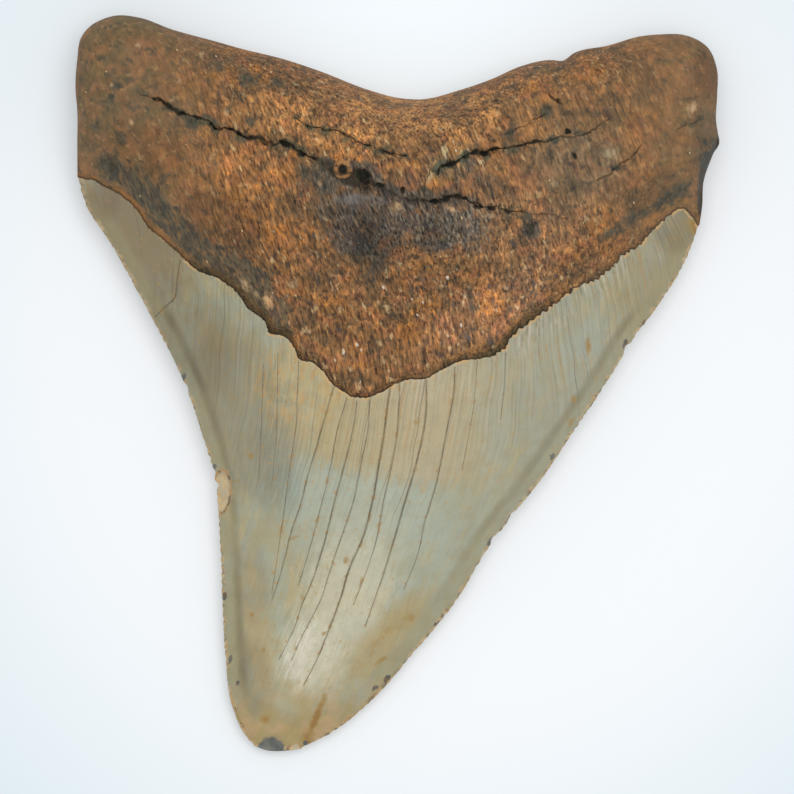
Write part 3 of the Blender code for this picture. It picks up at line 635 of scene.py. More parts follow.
def notched(line):
    """The same line with each small notch pressed into it."""
    normals = inward_normals(line)
    shift = np.zeros(len(line))
    for x, y, half_length, depth in NOTCHES:
        reach = np.hypot(line[:, 0] - x, line[:, 1] - y)
        shift += depth * np.clip(1.0 - reach / half_length, 0.0, 1.0)
    shift[0] = shift[-1] = 0.0
    return line + normals * shift[:, None]


def across_crown(points):
    """-1 at the left cutting edge, 0 on the middle of the blade and 1 at the right."""
    left = np.array(LEFT_EDGE)
    right = np.array(RIGHT_EDGE)[::-1]
    x_left = np.interp(points[:, 1], left[:, 1], left[:, 0])
    x_right = np.interp(points[:, 1], right[:, 1], right[:, 0])
    middle = (x_left + x_right) / 2.0
    return np.clip((points[:, 0] - middle) / ((x_right - x_left) / 2.0), -1.0, 1.0), middle


def above_line(points, line):
    """Distance to a line across the tooth, positive on the root's side."""
    side = np.where(points[:, 1] > np.interp(points[:, 0], line[:, 0], line[:, 1]), 1.0, -1.0)
    return side * distance_to_line(points, line)


def ragged_seam():
    """The upper enamel line with small steps, and short pleats towards the right."""
    line = smooth_curve(ENAMEL_LINE, SEAM_SPACING)
    along = np.arange(len(line)) * SEAM_SPACING
    pleated = smoothstep(line[:, 0], 10.0, 20.0) * (1.0 - smoothstep(line[:, 0], 41.0, 45.0))
    saw = np.abs((along / PLEAT_PITCH + 1.1 * lumps(line, 1.7, 5.0)) % 1.0 - 0.5) * 2.0 - 0.5
    amount = 0.25 + 0.45 * np.clip(0.5 + lumps(line, 3.0, 11.0), 0.0, 1.0)
    shift = 0.22 * lumps(line, 1.9, 3.0) + 0.16 * lumps(line, 0.5, 13.0) + pleated * amount * saw
    shift[:3] = shift[-3:] = 0.0
    shifted = line + inward_normals(line) * shift[:, None]
    return shifted[np.concatenate([[True], np.diff(np.maximum.accumulate(shifted[:, 0])) > 1e-3])]


class Drawing:
    """The lines of the tooth in millimetres, sampled finely enough for the looks."""

    def __init__(self, form):
        fine = form.serration_pitch / MM / 6.0
        self.parts = [
            notched(smooth_curve(ROOT_EDGE, OUTLINE_SPACING)),
            notched(serrated(RIGHT_EDGE, fine, form)),
            smooth_curve(TIP_EDGE, fine),
            notched(serrated(LEFT_EDGE, fine, form)),
        ]
        self.outline = np.vstack([line[:-1] for line in self.parts])
        self.closed = np.vstack([self.outline, self.outline[:1]])
        self.root_edge = smooth_curve(ROOT_EDGE, SMOOTH_SPACING)
        self.cutting = np.vstack([
            smooth_curve(RIGHT_EDGE, SMOOTH_SPACING),
            smooth_curve(TIP_EDGE, 1.0),
            smooth_curve(LEFT_EDGE, SMOOTH_SPACING),
        ])
        self.seam = ragged_seam()
        self.smooth_seam = smooth_curve(ENAMEL_LINE, 1.0)
        self.under_seam = smooth_curve(UNDER_ENAMEL_LINE, 1.0)
        self.root_cracks = [root_crack(*drawn) for drawn in ROOT_CRACKS]
        self.crown_cracks = [crown_crack(*drawn) for drawn in CROWN_CRACKS]


def wavering(route, waver):
    """A smooth line, the same line wavering, and how full it is between its two ends."""
    line = smooth_curve(route, CRACK_SPACING)
    fade = np.sin(np.linspace(0.0, math.pi, len(line))) ** 0.4
    shift = waver * (lumps(line, 1.5, 9.0) + 0.7 * lumps(line, 0.6, 5.0)) * fade
    return line, line + inward_normals(line) * shift[:, None], fade


def root_crack(depth, half_width, route):
    """A broken crack of the root: its depth, its line and its half width along the line."""
    line, wavered, fade = wavering(route, ROOT_CRACK_WAVER)
    uneven = 0.8 + 2.2 * lumps(line, 1.5, 3.0) + 0.8 * lumps(line, 0.5, 8.0)
    return depth, wavered, half_width * np.clip(uneven, 0.25, 2.3) * (0.3 + 0.7 * fade)


def crown_crack(depth, half_width, route):
    """A hairline crack of the blade, thinner towards its far end, given as a root crack is."""
    line, wavered, fade = wavering(route, CROWN_CRACK_WAVER)
    tail = smoothstep(np.linspace(0.0, 1.0, len(line)), 0.55, 1.0)
    return depth, wavered, half_width * (0.95 + 0.35 * fade) * (1.0 - 0.45 * tail)


def oval_reach(points, x, y, length, width, turn):
    """0 at the middle of an oval, 1 on its edge and more beyond it."""
    angle = math.radians(turn)
    off = points - (x, y)
    along = off[:, 0] * math.cos(angle) + off[:, 1] * math.sin(angle)
    aside = off[:, 1] * math.cos(angle) - off[:, 0] * math.sin(angle)
    return np.hypot(along / length, aside / width)


def patches(points, spots):
    """How strongly each point lies in any of the soft patches."""
    result = np.zeros(len(points))
    for *oval, strength in spots:
        result = np.maximum(result, strength * np.exp(-oval_reach(points, *oval) ** 2))
    return result


def drawn_marks(points, drawing):
    """Where each point lies among the drawn lines, cracks, pits and chips of the upper face."""
    marks = {name: np.zeros(len(points)) for name in ("crack", "halo", "cut", "slate", "fresh")}
    marks["seam"] = above_line(points, drawing.seam)
    marks["rim"] = distance_to_line(points, drawing.cutting)
    for on_root, cracks in ((1.0, drawing.root_cracks), (0.0, drawing.crown_cracks)):
        for depth, line, widths in cracks:
            distance, piece = nearest_piece(points, line, CRACK_REACH)
            share = distance / widths[piece]
            strength = min(0.35 + depth, 1.0) if on_root else 1.0
            marks["crack"] = np.maximum(marks["crack"], strength * np.clip(1.25 - share, 0.0, 1.0))
            spread_out = 0.35 + 0.75 * on_root
            near = min(0.3 + depth, 1.0) * np.exp(-((distance / spread_out) ** 2))
            marks["halo"] = np.maximum(marks["halo"], near)
            marks["cut"] += depth * np.clip(1.0 - share / 1.3, 0.0, 1.0)
    ragged = 1.0 + 0.35 * lumps(points, 0.9, 4.0) + 0.45 * lumps(points, 0.4, 11.0)
    for *oval, depth in HOLLOWS:
        reach = oval_reach(points, *oval) / ragged
        marks["cut"] += depth * np.clip(1.0 - reach**2, 0.0, 1.0)
        dark = np.clip(1.5 * depth, 0.0, 1.0) * np.clip(2.2 - 2.2 * reach, 0.0, 0.35 + depth)
        marks["crack"] = np.maximum(marks["crack"], dark)
    for name, chips in (("slate", SLATE_CHIPS), ("fresh", FRESH_CHIPS)):
        for *oval, depth in chips:
            reach = oval_reach(points, *oval)
            marks["cut"] += depth * np.clip(1.0 - reach**2, 0.0, 1.0)
            edge = 1.0 + (ragged - 1.0) * min(1.0, 0.7 / oval[2])
            marks[name] = np.maximum(marks[name], np.clip((edge - reach) / 0.3, 0.0, 1.0))
    return marks


def ledges(points, seam):
    """The smooth worn shelf beside the enamel line, on the left and on the right."""
    left = smoothstep(points[:, 0], -35.0, -31.0) * (1.0 - smoothstep(points[:, 0], -18.0, -15.0))
    right = 0.4 + 0.6 * smoothstep(points[:, 0], 10.0, 14.0)
    right *= smoothstep(points[:, 0], -4.0, 4.0) * (1.0 - smoothstep(points[:, 0], 20.0, 30.0))
    reach = seam + 0.8 * lumps(points, 1.8, 12.0) + 0.5 * lumps(points, 0.7, 15.0)
    left *= 1.0 - smoothstep(reach, 0.9, 1.7)
    right *= 1.0 - smoothstep(reach, 0.5, 1.2)
    return np.maximum(left, right) * (seam > 0.0)


def edge_height(points, onto_root):
    """Height of the underside at the outline, on the crown and on the root."""
    crown = np.interp(points[:, 1], EDGE_LIFT_AT_Y, EDGE_LIFT)
    return crown + (ROOT_EDGE_HEIGHT - crown) * onto_root


def upper_relief(points, marks):
    """Steps, grooves, pleats and everything cut into the upper face."""
    seam = marks["seam"]
    step = ENAMEL_STEP * smoothstep(seam, 0.0, 0.45) * (1.0 - smoothstep(seam, 4.0, 9.0))
    left_side = smoothstep(-points[:, 0], -10.0, 8.0)
    groove = SEAM_GROOVE * np.clip(1.0 - np.abs(seam - 0.35) / 0.4, 0.0, 1.0)
    shelf = SHELF_DEPTH * ledges(points, seam)
    on_crown = 1.0 - smoothstep(seam, -6.0, -2.0)
    on_crown = on_crown * smoothstep(points[:, 1], -52.0, -42.0)
    margin = MARGIN_DEPTH * on_crown * np.exp(-(((marks["rim"] - MARGIN_WIDTH) / 0.7) ** 2))
    pleated = smoothstep(points[:, 0], 10.0, 20.0) * np.exp(-((np.minimum(seam, 0.0) / 2.6) ** 2))
    pleated *= 1.0 - smoothstep(points[:, 0], 34.0, 43.0)
    lean = points[:, 0] + 0.3 * points[:, 1]
    pleats = np.sin(2.0 * math.pi * lean / PLEAT_WAVE + 3.0 * lumps(points, 2.5, 5.0))
    pleats *= PLEAT_HEIGHT * pleated * (seam < 0.0)
    return pleats - step - groove * (0.25 + 0.75 * left_side) - shelf - margin - marks["cut"]


def upper_height(points, drawing, form, marks):
    """Height of the upper face: the rounded blade, the lobes and the swelling."""
    smooth_beyond = above_line(points, drawing.smooth_seam)
    onto_root = smoothstep(smooth_beyond, -3.0, 9.0)
    to_root_edge = distance_to_line(points, drawing.root_edge)
    rim = quarter_round(to_root_edge, ROOT_TOP_RADIUS)
    start = edge_height(points, onto_root) + EDGE_WALL
    to_tip = np.clip((points[:, 1] - BLADE_START_Y) / BLADE_RISE_LENGTH, 0.0, 1.0)
    blade = (1.0 - np.abs(across_crown(points)[0]) ** CROWN_ROUNDNESS) ** 0.9
    crown = start + form.crown_rise / MM * to_tip**0.75 * blade
    lobe = form.lobe_height / MM - LOBE_END_DROP * (np.abs(points[:, 0]) / HALF_WIDTH) ** 2.5
    root = start + (lobe - start + ROOT_LUMP_HEIGHT * lumps(points, ROOT_LUMP_SIZE, 2.0)) * rim
    away_x = (points[:, 0] - SWELLING_CENTRE[0]) / SWELLING_REACH[0]
    away_y = (points[:, 1] - SWELLING_CENTRE[1]) / SWELLING_REACH[1]
    swelling = form.swelling_height / MM * np.exp(-(away_x**2) - away_y**2) * rim
    to_cutting = distance_to_line(points, drawing.cutting)
    inset = quarter_round(np.minimum(to_root_edge, to_cutting), 1.5)
    relief = upper_relief(points, marks) * inset
    return crown + (root - crown) * onto_root + swelling + relief


def outside_rest_patch(points):
    """0 on the flat resting patch and 1 well outside it."""
    away_x = (points[:, 0] - REST_CENTRE[0]) / REST_HALF_SIZE[0]
    away_y = (points[:, 1] - REST_CENTRE[1]) / REST_HALF_SIZE[1]
    return smoothstep(np.hypot(away_x, away_y), 1.0, 1.45)


def under_height(points, drawing):
    """Height of the underside, which is nearly flat and rises at its edges."""
    beyond = above_line(points, drawing.under_seam)
    onto_root = smoothstep(beyond, -3.0, 6.0)
    lift = edge_height(points, onto_root)
    to_tip = np.clip((-10.0 - points[:, 1]) / 48.0, 0.0, 1.0)
    crown = np.maximum(lift * np.abs(across_crown(points)[0]) ** 2.6, TIP_LIFT * to_tip**1.5)
    rim = quarter_round(distance_to_line(points, drawing.root_edge), ROOT_UNDER_RADIUS)
    root = lift * (1.0 - rim) + 1.2 * (np.abs(points[:, 0]) / HALF_WIDTH) ** 2 * rim
    step = UNDER_STEP * smoothstep(beyond, 0.0, 0.6)
    bumps = 0.35 + ROOT_LUMP_HEIGHT * lumps(points, ROOT_LUMP_SIZE, 7.0) * onto_root
    shape = crown + (root - crown) * onto_root + (step + np.maximum(bumps, 0.0)) * rim
    return shape * outside_rest_patch(points)


def hexagonal_points(spacing):
    """Evenly spread points over the whole tooth's box, each nudged a little."""
    row_gap = spacing * math.sqrt(3.0) / 2.0
    rows = []
    for row, y in enumerate(np.arange(-POINTS_HALF_LENGTH, POINTS_HALF_LENGTH, row_gap)):
        x = np.arange(-POINTS_HALF_WIDTH, POINTS_HALF_WIDTH, spacing) + (row % 2) * spacing / 2.0
        rows.append(np.column_stack([x, np.full(len(x), y)]))
    points = np.vstack(rows)
    nudge = np.random.default_rng(POINTS_SEED).uniform(-0.15, 0.15, points.shape)
    return points + nudge * spacing


def offset_ring(lines, distance, outline):
    """Points at one distance inside the outline, where there is room for them."""
    ring = np.vstack([line + inward_normals(line) * distance for line in lines])
    ring = ring[inside(ring, outline)]
    real = distance_to_line(ring, np.vstack([outline, outline[:1]]))
    return ring[real > 0.8 * distance]


def beside_line(line, distances):
    """The line itself with rows of points on both sides of it."""
    normals = inward_normals(line)
    rows = [line]
    for distance in distances:
        rows += [line + normals * distance, line - normals * distance]
    return np.vstack(rows)


def circle(radius, count):
    """Evenly spaced points on a circle about the origin."""
    angles = np.linspace(0.0, 2.0 * math.pi, count, endpoint=False)
    return np.column_stack([radius * np.cos(angles), radius * np.sin(angles)])


def tree_of(points):
    """A search tree of flat points."""
    tree = kdtree.KDTree(len(points))
    for index, (x, y) in enumerate(points):
        tree.insert((x, y, 0.0), index)
    tree.balance()
    return tree


def keep_clear(points, others, gap):
    """Drops the points that lie closer than the gap to any of the others."""
    tree = tree_of(others)
    near = np.array([tree.find((x, y, 0.0))[2] for x, y in points])
    return points[near > gap]


def thin_out(points, gap):
    """Drops each point that has an earlier one closer than the gap."""
    tree = tree_of(points)
    dropped = np.zeros(len(points), bool)
    for index, (x, y) in enumerate(points):
        if not dropped[index]:
            for _, other, _ in tree.find_range((x, y, 0.0), gap):
                if other > index:
                    dropped[other] = True
    return points[~dropped]


def upper_points(drawing, spacing):
    """Points of the upper face, closest where the relief is fine."""
    features = [beside_line(drawing.seam[2:-2], SEAM_ROWS)]
    features += [beside_line(line, ROOT_CRACK_ROWS) for _, line, _ in drawing.root_cracks]
    features += [beside_line(line, CROWN_CRACK_ROWS) for _, line, _ in drawing.crown_cracks]
    for x, y, length, width, turn, _ in HOLLOWS + SLATE_CHIPS + FRESH_CHIPS:
        for share in (0.5, 0.8, 1.0, 1.2):
            ring = circle(share, 8 + round(9.0 * length)) * (length, width)
            angle = math.radians(turn)
            along = [math.cos(angle), math.sin(angle)]
            aside = [-math.sin(angle), math.cos(angle)]
            features.append(ring @ np.array([along, aside]) + (x, y))
    features = np.vstack(features)
    features = features[inside(features, drawing.outline)]
    features = features[distance_to_line(features, drawing.closed) > 0.15]
    rings = [offset_ring(drawing.parts, reach, drawing.outline) for reach in RIM_ROWS]
    rings.append(offset_ring([drawing.parts[0]], 0.62, drawing.outline))
    fine = thin_out(np.vstack([features] + rings), 0.085)
    rest = hexagonal_points(spacing)
    rest = rest[inside(rest, drawing.outline)]
    rest = rest[distance_to_line(rest, drawing.closed) > 0.45]
    return np.vstack([fine, keep_clear(rest, fine, 0.6 * spacing)])


def under_points(drawing, spacing):
    """Points of the underside."""
    fine = [offset_ring(drawing.parts, reach, drawing.outline) for reach in UNDER_RIM_ROWS]
    fine.append(offset_ring([drawing.parts[0]], 0.9, drawing.outline))
    seam = smooth_curve(UNDER_ENAMEL_LINE, 0.4)[2:-2]
    fine = thin_out(np.vstack([beside_line(seam, UNDER_SEAM_ROWS)] + fine), 0.12)
    rest = hexagonal_points(spacing)
    rest = rest[inside(rest, drawing.outline)]
    rest = rest[distance_to_line(rest, drawing.closed) > 0.8]
    return np.vstack([fine, keep_clear(rest, fine, 0.6 * spacing)])


def triangulate(outline, others):
    """Triangles between the outline and the points inside it."""
    count = len(outline)
    points = [Vector(point) for point in np.vstack([outline, others])]
    border = [(i, (i + 1) % count) for i in range(count)]
    flat, _, faces, sources, _, _ = delaunay_2d_cdt(points, border, [], 1, 1e-6, True)
    flat = np.array([tuple(point) for point in flat])
    faces = np.array(faces)
    faces = faces[inside(flat[faces].mean(axis=1), outline)]
    place = {}
    for new, old in enumerate(sources):
        for index in old:
            place[index] = new
    return flat, faces, np.array([place[i] for i in range(count)])


def grain_direction(points, height, on_root):
    """Distances across and along the fibres, which lean on the root and curve on the blade."""
    x, y = points[:, 0], points[:, 1]
    root_across = x + 0.15 * y + 0.0027 * y**2
    crown_across = x - across_crown(points)[1] + 0.25 * y * smoothstep(x, 12.0, 30.0)
    across = np.where(on_root, root_across, crown_across)
    return np.column_stack([across, y, height])


def finish_marks(points, height, marks, upper, drawing):
    """Adds the values that the finishes and the fine relief read."""
    seam = marks["seam"]
    to_lobe_rim = distance_to_line(points, drawing.root_edge)
    give = smoothstep(np.minimum(marks["rim"], to_lobe_rim), 0.15, 1.2)
    marks["upper"] = np.full(len(points), float(upper))
    marks["grain"] = grain_direction(points, height, seam > 0.0)
    marks["ledge"] = ledges(points, seam) * upper
    marks["lobe"] = smoothstep(np.abs(points[:, 0] - 3.0), 24.0, 44.0)
    marks["rust"] = patches(points, RUST_STAINS) * upper
    marks["dark"] = patches(points, DARK_PATCHES) * upper
    marks["pale"] = patches(points, PALE_PATCHES) * upper
    marks["orange"] = patches(points, ORANGE_PATCHES) * upper
    marks["give"] = give if upper else give * 0.7 * outside_rest_patch(points)
    marks["give"] *= 1.0 - 0.7 * marks["ledge"] - 0.5 * marks["lobe"] * (seam > 0.0)
    return marks


def tooth_geometry(form):
    """Vertices in metres, triangles, which faces are root, and the marks on the vertices."""
    drawing = Drawing(form)
    outline = drawing.outline
    top, top_faces, top_rim = triangulate(outline, upper_points(drawing, form.point_spacing / MM))
    low, low_faces, low_rim = triangulate(outline, under_points(drawing, form.under_spacing / MM))
    upper = drawn_marks(top, drawing)
    low_z = under_height(low, drawing)
    top_z = upper_height(top, drawing, form, upper)
    top_z[top_rim] = low_z[low_rim] + EDGE_WALL
    under = {name: np.zeros(len(low)) for name in upper}
    under["seam"] = above_line(low, drawing.under_seam)
    under["rim"] = distance_to_line(low, drawing.cutting)

    centre = (outline.min(axis=0) + outline.max(axis=0)) / 2.0
    top_points = np.column_stack([top - centre, top_z])
    low_points = np.column_stack([low - centre, low_z])
    vertices = np.vstack([top_points, low_points])
    step = len(top)
    a, b = top_rim, np.roll(top_rim, -1)
    c, d = np.roll(low_rim, -1) + step, low_rim + step
    wall = np.vstack([np.column_stack([a, b, c]), np.column_stack([a, c, d])])
    faces = np.vstack([top_faces, low_faces[:, ::-1] + step, wall])

    on_root = np.arange(len(outline)) < len(drawing.parts[0]) - 1
    root_faces = np.concatenate([
        above_line(top[top_faces].mean(axis=1), drawing.seam) > 0.0,
        above_line(low[low_faces].mean(axis=1), drawing.under_seam) > 0.0,
        on_root, on_root,
    ])
    upper = finish_marks(top, top_z, upper, True, drawing)
    under = finish_marks(low, low_z, under, False, drawing)
    marks = {name: np.concatenate([upper[name], under[name]]) for name in upper}
    return vertices * MM, faces, root_faces, marks


def plain_mesh(name, vertices, faces):
    """A mesh of triangles from arrays."""
    mesh = bpy.data.meshes.new(name)
    mesh.vertices.add(len(vertices))
    mesh.vertices.foreach_set("co", np.asarray(vertices, np.float32).ravel())
    mesh.loops.add(len(faces) * 3)
    mesh.loops.foreach_set("vertex_index", np.asarray(faces, np.int32).ravel())
    mesh.polygons.add(len(faces))
    mesh.polygons.foreach_set("loop_start", np.arange(0, len(faces) * 3, 3, dtype=np.int32))
    mesh.update(calc_edges=True)
    mesh.validate()
    return mesh


def write_mark(mesh, name, values, domain="POINT"):
    """Stores one value, or one vector, for each point or face of a mesh."""
    vector = values.ndim == 2
    layer = mesh.attributes.new(name, "FLOAT_VECTOR" if vector else "FLOAT", domain)
    layer.data.foreach_set("vector" if vector else "value", np.asarray(values, np.float32).ravel())


def add(tree, kind, inputs=None, **settings):
    """Adds one node, sets it up and fills its inputs with values or links."""
    node = tree.nodes.new(kind)
    for name, value in settings.items():
        setattr(node, name, value)
    for name, value in (inputs or {}).items():
        if isinstance(value, bpy.types.NodeSocket):
            tree.links.new(value, node.inputs[name])
        else:
            node.inputs[name].default_value = value
    return node


def calc(tree, operation, *values):
    """A Math node's result."""
    return add(tree, "ShaderNodeMath", dict(enumerate(values)), operation=operation).outputs[0]


def spread(tree, value, low, high):
    """0 below low, 1 above high, and a smooth rise between."""
    inputs = {"Value": value, "From Min": low, "From Max": high}
    return add(tree, "ShaderNodeMapRange", inputs, interpolation_type="SMOOTHSTEP").outputs["Result"]


def blend(tree, amount, first, second, mode="MIX"):
    """Mixes two colours."""
    inputs = {0: amount, 6: first, 7: second}
    node = add(tree, "ShaderNodeMix", inputs, data_type="RGBA", blend_type=mode)
    return node.outputs[2]


def stretched(tree, vector, x, y, z):
    """A vector with each of its parts multiplied."""
    scale = add(tree, "ShaderNodeCombineXYZ", {0: x, 1: y, 2: z}).outputs[0]
    return add(tree, "ShaderNodeVectorMath", {0: vector, 1: scale}, operation="MULTIPLY").outputs[0]


def mottle(tree, vector, scale, detail=4.0, roughness=0.55):
    """A noise value from 0 to 1."""
    inputs = {"Vector": vector, "Scale": scale, "Detail": detail, "Roughness": roughness}
    return add(tree, "ShaderNodeTexNoise", inputs, noise_dimensions="3D").outputs[0]


def grain_noise(tree, grain, width, length, shift, detail):
    """Noise from 0 to 1, drawn out along the grain."""
    fine = calc(tree, "DIVIDE", 1.0, width)
    long = calc(tree, "DIVIDE", 1.0, length)
    vector = stretched(tree, grain, fine, long, fine)
    moved = add(tree, "ShaderNodeVectorMath", {0: vector, 1: shift}, operation="ADD")
    return mottle(tree, moved.outputs[0], 1.0, detail, 0.5)


def new_group(name, kind, inputs, outputs):
    """An empty node group with its sockets, and its two end nodes."""
    group = bpy.data.node_groups.new(name, kind)
    for label, socket, default in inputs:
        made = group.interface.new_socket(label, in_out="INPUT", socket_type=socket)
        if default is not None:
            made.default_value = default
    for label, socket in outputs:
        group.interface.new_socket(label, in_out="OUTPUT", socket_type=socket)
    return group, group.nodes.new("NodeGroupInput").outputs, group.nodes.new("NodeGroupOutput").inputs


def streak_group():
    """Streaks that run along the grain."""
    group, given, result = new_group(
        "Grain streaks", "ShaderNodeTree",
        [("Grain", "NodeSocketVector", None), ("Width", "NodeSocketFloat", 0.4),
         ("Length", "NodeSocketFloat", 3.0), ("Low", "NodeSocketFloat", 0.4),
         ("High", "NodeSocketFloat", 0.6), ("Shift", "NodeSocketFloat", 0.0)],
        [("Streaks", "NodeSocketFloat")],
    )
    value = grain_noise(group, given["Grain"], given["Width"], given["Length"], given["Shift"], 2.0)
    group.links.new(spread(group, value, given["Low"], given["High"]), result["Streaks"])
    return group


def blotch_group():
    """Uneven patches that break up a finish."""
    group, given, result = new_group(
        "Blotches", "ShaderNodeTree",
        [("Position", "NodeSocketVector", None), ("Size", "NodeSocketFloat", 5.0),
         ("Low", "NodeSocketFloat", 0.45), ("High", "NodeSocketFloat", 0.6),
         ("Shift", "NodeSocketFloat", 0.0)],
        [("Patches", "NodeSocketFloat")],
    )
    scale = calc(group, "DIVIDE", 1.0, given["Size"])
    vector = stretched(group, given["Position"], scale, scale, scale)
    moved = add(group, "ShaderNodeVectorMath", {0: vector, 1: given["Shift"]}, operation="ADD")
    value = mottle(group, moved.outputs[0], 1.0, 3.0, 0.5)
    group.links.new(spread(group, value, given["Low"], given["High"]), result["Patches"])
    return group


def lines_group():
    """Thin parallel lines along the grain, each with its own place, reach and strength."""
    group, given, result = new_group(
        "Parallel lines", "ShaderNodeTree",
        [("Grain", "NodeSocketVector", None), ("Spacing", "NodeSocketFloat", 1.5),
         ("Thickness", "NodeSocketFloat", 0.08), ("Run", "NodeSocketFloat", 20.0),
         ("Gap", "NodeSocketFloat", 0.5), ("Shift", "NodeSocketFloat", 0.0)],
        [("Lines", "NodeSocketFloat")],
    )
    split = add(group, "ShaderNodeSeparateXYZ", {0: given["Grain"]}).outputs
    swayed = mottle(group, stretched(group, given["Grain"], 0.2, 0.12, 0.0), 1.0, 1.0, 0.5)
    sway = calc(group, "MULTIPLY", calc(group, "SUBTRACT", swayed, 0.5), 1.4)
    lane = calc(group, "DIVIDE", calc(group, "ADD", split[0], sway), given["Spacing"])
    lane = calc(group, "ADD", lane, given["Shift"])
    cell = calc(group, "FLOOR", lane)
    chance = add(group, "ShaderNodeTexWhiteNoise", {"W": cell}, noise_dimensions="1D").outputs["Value"]
    place = calc(group, "MULTIPLY", calc(group, "SUBTRACT", chance, 0.5), 0.6)
    off = calc(group, "SUBTRACT", calc(group, "SUBTRACT", lane, cell), calc(group, "ADD", place, 0.5))
    away = calc(group, "MULTIPLY", calc(group, "ABSOLUTE", off), given["Spacing"])
    inner = calc(group, "MULTIPLY", given["Thickness"], 0.3)
    line = calc(group, "SUBTRACT", 1.0, spread(group, away, inner, given["Thickness"]))
    along = calc(group, "DIVIDE", split[1], given["Run"])
    spot = add(group, "ShaderNodeCombineXYZ", {0: calc(group, "MULTIPLY", cell, 3.7), 1: along})
    present = spread(group, mottle(group, spot.outputs[0], 1.0, 2.0, 0.6), given["Gap"],
                     calc(group, "ADD", given["Gap"], 0.1))
    strength = calc(group, "ADD", 0.35, calc(group, "MULTIPLY", chance, 0.65))
    faded = calc(group, "MULTIPLY", calc(group, "MULTIPLY", line, present), strength)
    group.links.new(faded, result["Lines"])
    return group


class Finish:
    """Shared reading of the marks and the position inside one material."""

    def __init__(self, name, groups):
        self.material = bpy.data.materials.new(name)
        self.material.use_nodes = True
        self.tree = self.material.node_tree
        self.shader = self.tree.nodes["Principled BSDF"]
        self.groups = groups
        place = self.tree.nodes.new("ShaderNodeTexCoord").outputs["Object"]
        self.place = stretched(self.tree, place, 1.0 / MM, 1.0 / MM, 1.0 / MM)
        split = add(self.tree, "ShaderNodeSeparateXYZ", {0: self.place})
        self.x, self.y = split.outputs[0], split.outputs[1]
        self.grain = add(self.tree, "ShaderNodeAttribute", attribute_name="grain").outputs["Vector"]

    def mark(self, name):
        """One of the values stored on the mesh."""
        return add(self.tree, "ShaderNodeAttribute", attribute_name=name).outputs["Fac"]

    def group(self, name, **values):
        """One of the shared effects, with its own values."""
        inputs = {key.capitalize(): value for key, value in values.items()}
        node = self.tree.nodes.new("ShaderNodeGroup")
        node.node_tree = self.groups[name]
        for key, value in inputs.items():
            if isinstance(value, bpy.types.NodeSocket):
                self.tree.links.new(value, node.inputs[key])
            else:
                node.inputs[key].default_value = value
        return node.outputs[0]

    def streaks(self, width, length, low, high, shift=0.0):
        """Streaks along the grain."""
        return self.group("Grain streaks", grain=self.grain, width=width, length=length,
                          low=low, high=high, shift=shift)

    def blotches(self, size, low, high, shift=0.0):
        """Uneven patches of about one size."""
        return self.group("Blotches", position=self.place, size=size, low=low, high=high, shift=shift)

    def lines(self, spacing, thickness, run, gap, shift=0.0):
        """Thin lines along the grain."""
        return self.group("Parallel lines", grain=self.grain, spacing=spacing,
                          thickness=thickness, run=run, gap=gap, shift=shift)

    def math(self, operation, *values):
        return calc(self.tree, operation, *values)

    def times(self, *values):
        """The product of all the values."""
        result = values[0]
        for value in values[1:]:
            result = calc(self.tree, "MULTIPLY", result, value)
        return result

    def spread(self, value, low, high):
        return spread(self.tree, value, low, high)

    def inverse(self, value):
        """1 where the value is 0, and 0 where it is 1."""
        return calc(self.tree, "SUBTRACT", 1.0, value)

    def falls(self, value, low, high):
        """1 below low, 0 above high, and a smooth fall between."""
        return self.inverse(self.spread(value, low, high))

    def mix(self, amount, first, second, mode="MIX"):
        return blend(self.tree, amount, first, second, mode)

    def between(self, first, second, amount):
        """A colour between two plain colours."""
        return self.mix(amount, solid(first), solid(second))

    def tint(self, base, colour, *amounts):
        """The base with a plain colour over it, as strongly as the amounts multiply to."""
        return self.mix(self.times(*amounts), base, solid(colour))

    def zone(self, x, y, half_x, half_y, turn=0.0, ragged=0.0):
        """A soft oval on the tooth, its edge broken up along the grain."""
        angle = math.radians(turn)
        dx = self.math("SUBTRACT", self.x, x)
        dy = self.math("SUBTRACT", self.y, y)
        along = self.math("ADD", self.times(dx, math.cos(angle)), self.times(dy, math.sin(angle)))
        aside = self.math("SUBTRACT", self.times(dy, math.cos(angle)), self.times(dx, math.sin(angle)))
        a = self.math("POWER", self.math("DIVIDE", along, half_x), 2.0)
        b = self.math("POWER", self.math("DIVIDE", aside, half_y), 2.0)
        reach = self.math("SQRT", self.math("ADD", a, b))
        if ragged:
            reach = self.math("ADD", reach, self.times(self.streaks(0.8, 9.0, 0.3, 0.7), ragged))
        return self.inverse(self.spread(reach, 0.5, 1.3))

    def shaded(self, base, areas):
        """A colour with its broad lighter and darker areas."""
        for *oval, share in areas:
            base = self.mix(self.zone(*oval), base, solid(share), "MULTIPLY")
        return base

    def ring(self, x, y):
        """Distance in millimetres from one point of the tooth."""
        a = self.math("POWER", self.math("SUBTRACT", self.x, x), 2.0)
        b = self.math("POWER", self.math("SUBTRACT", self.y, y), 2.0)
        return self.math("SQRT", self.math("ADD", a, b))

    def close(self, colour, roughness, height, distance, strength):
        """Feeds the shader with the finished colour, roughness and relief."""
        bump = add(self.tree, "ShaderNodeBump",
                   {"Height": height, "Distance": distance, "Strength": strength})
        self.tree.links.new(colour, self.shader.inputs["Base Color"])
        self.tree.links.new(roughness, self.shader.inputs["Roughness"])
        self.tree.links.new(bump.outputs["Normal"], self.shader.inputs["Normal"])
        return self.material


def solid(colour):
    """A colour with its fourth value, as a socket takes it."""
    return (*colour, 1.0)


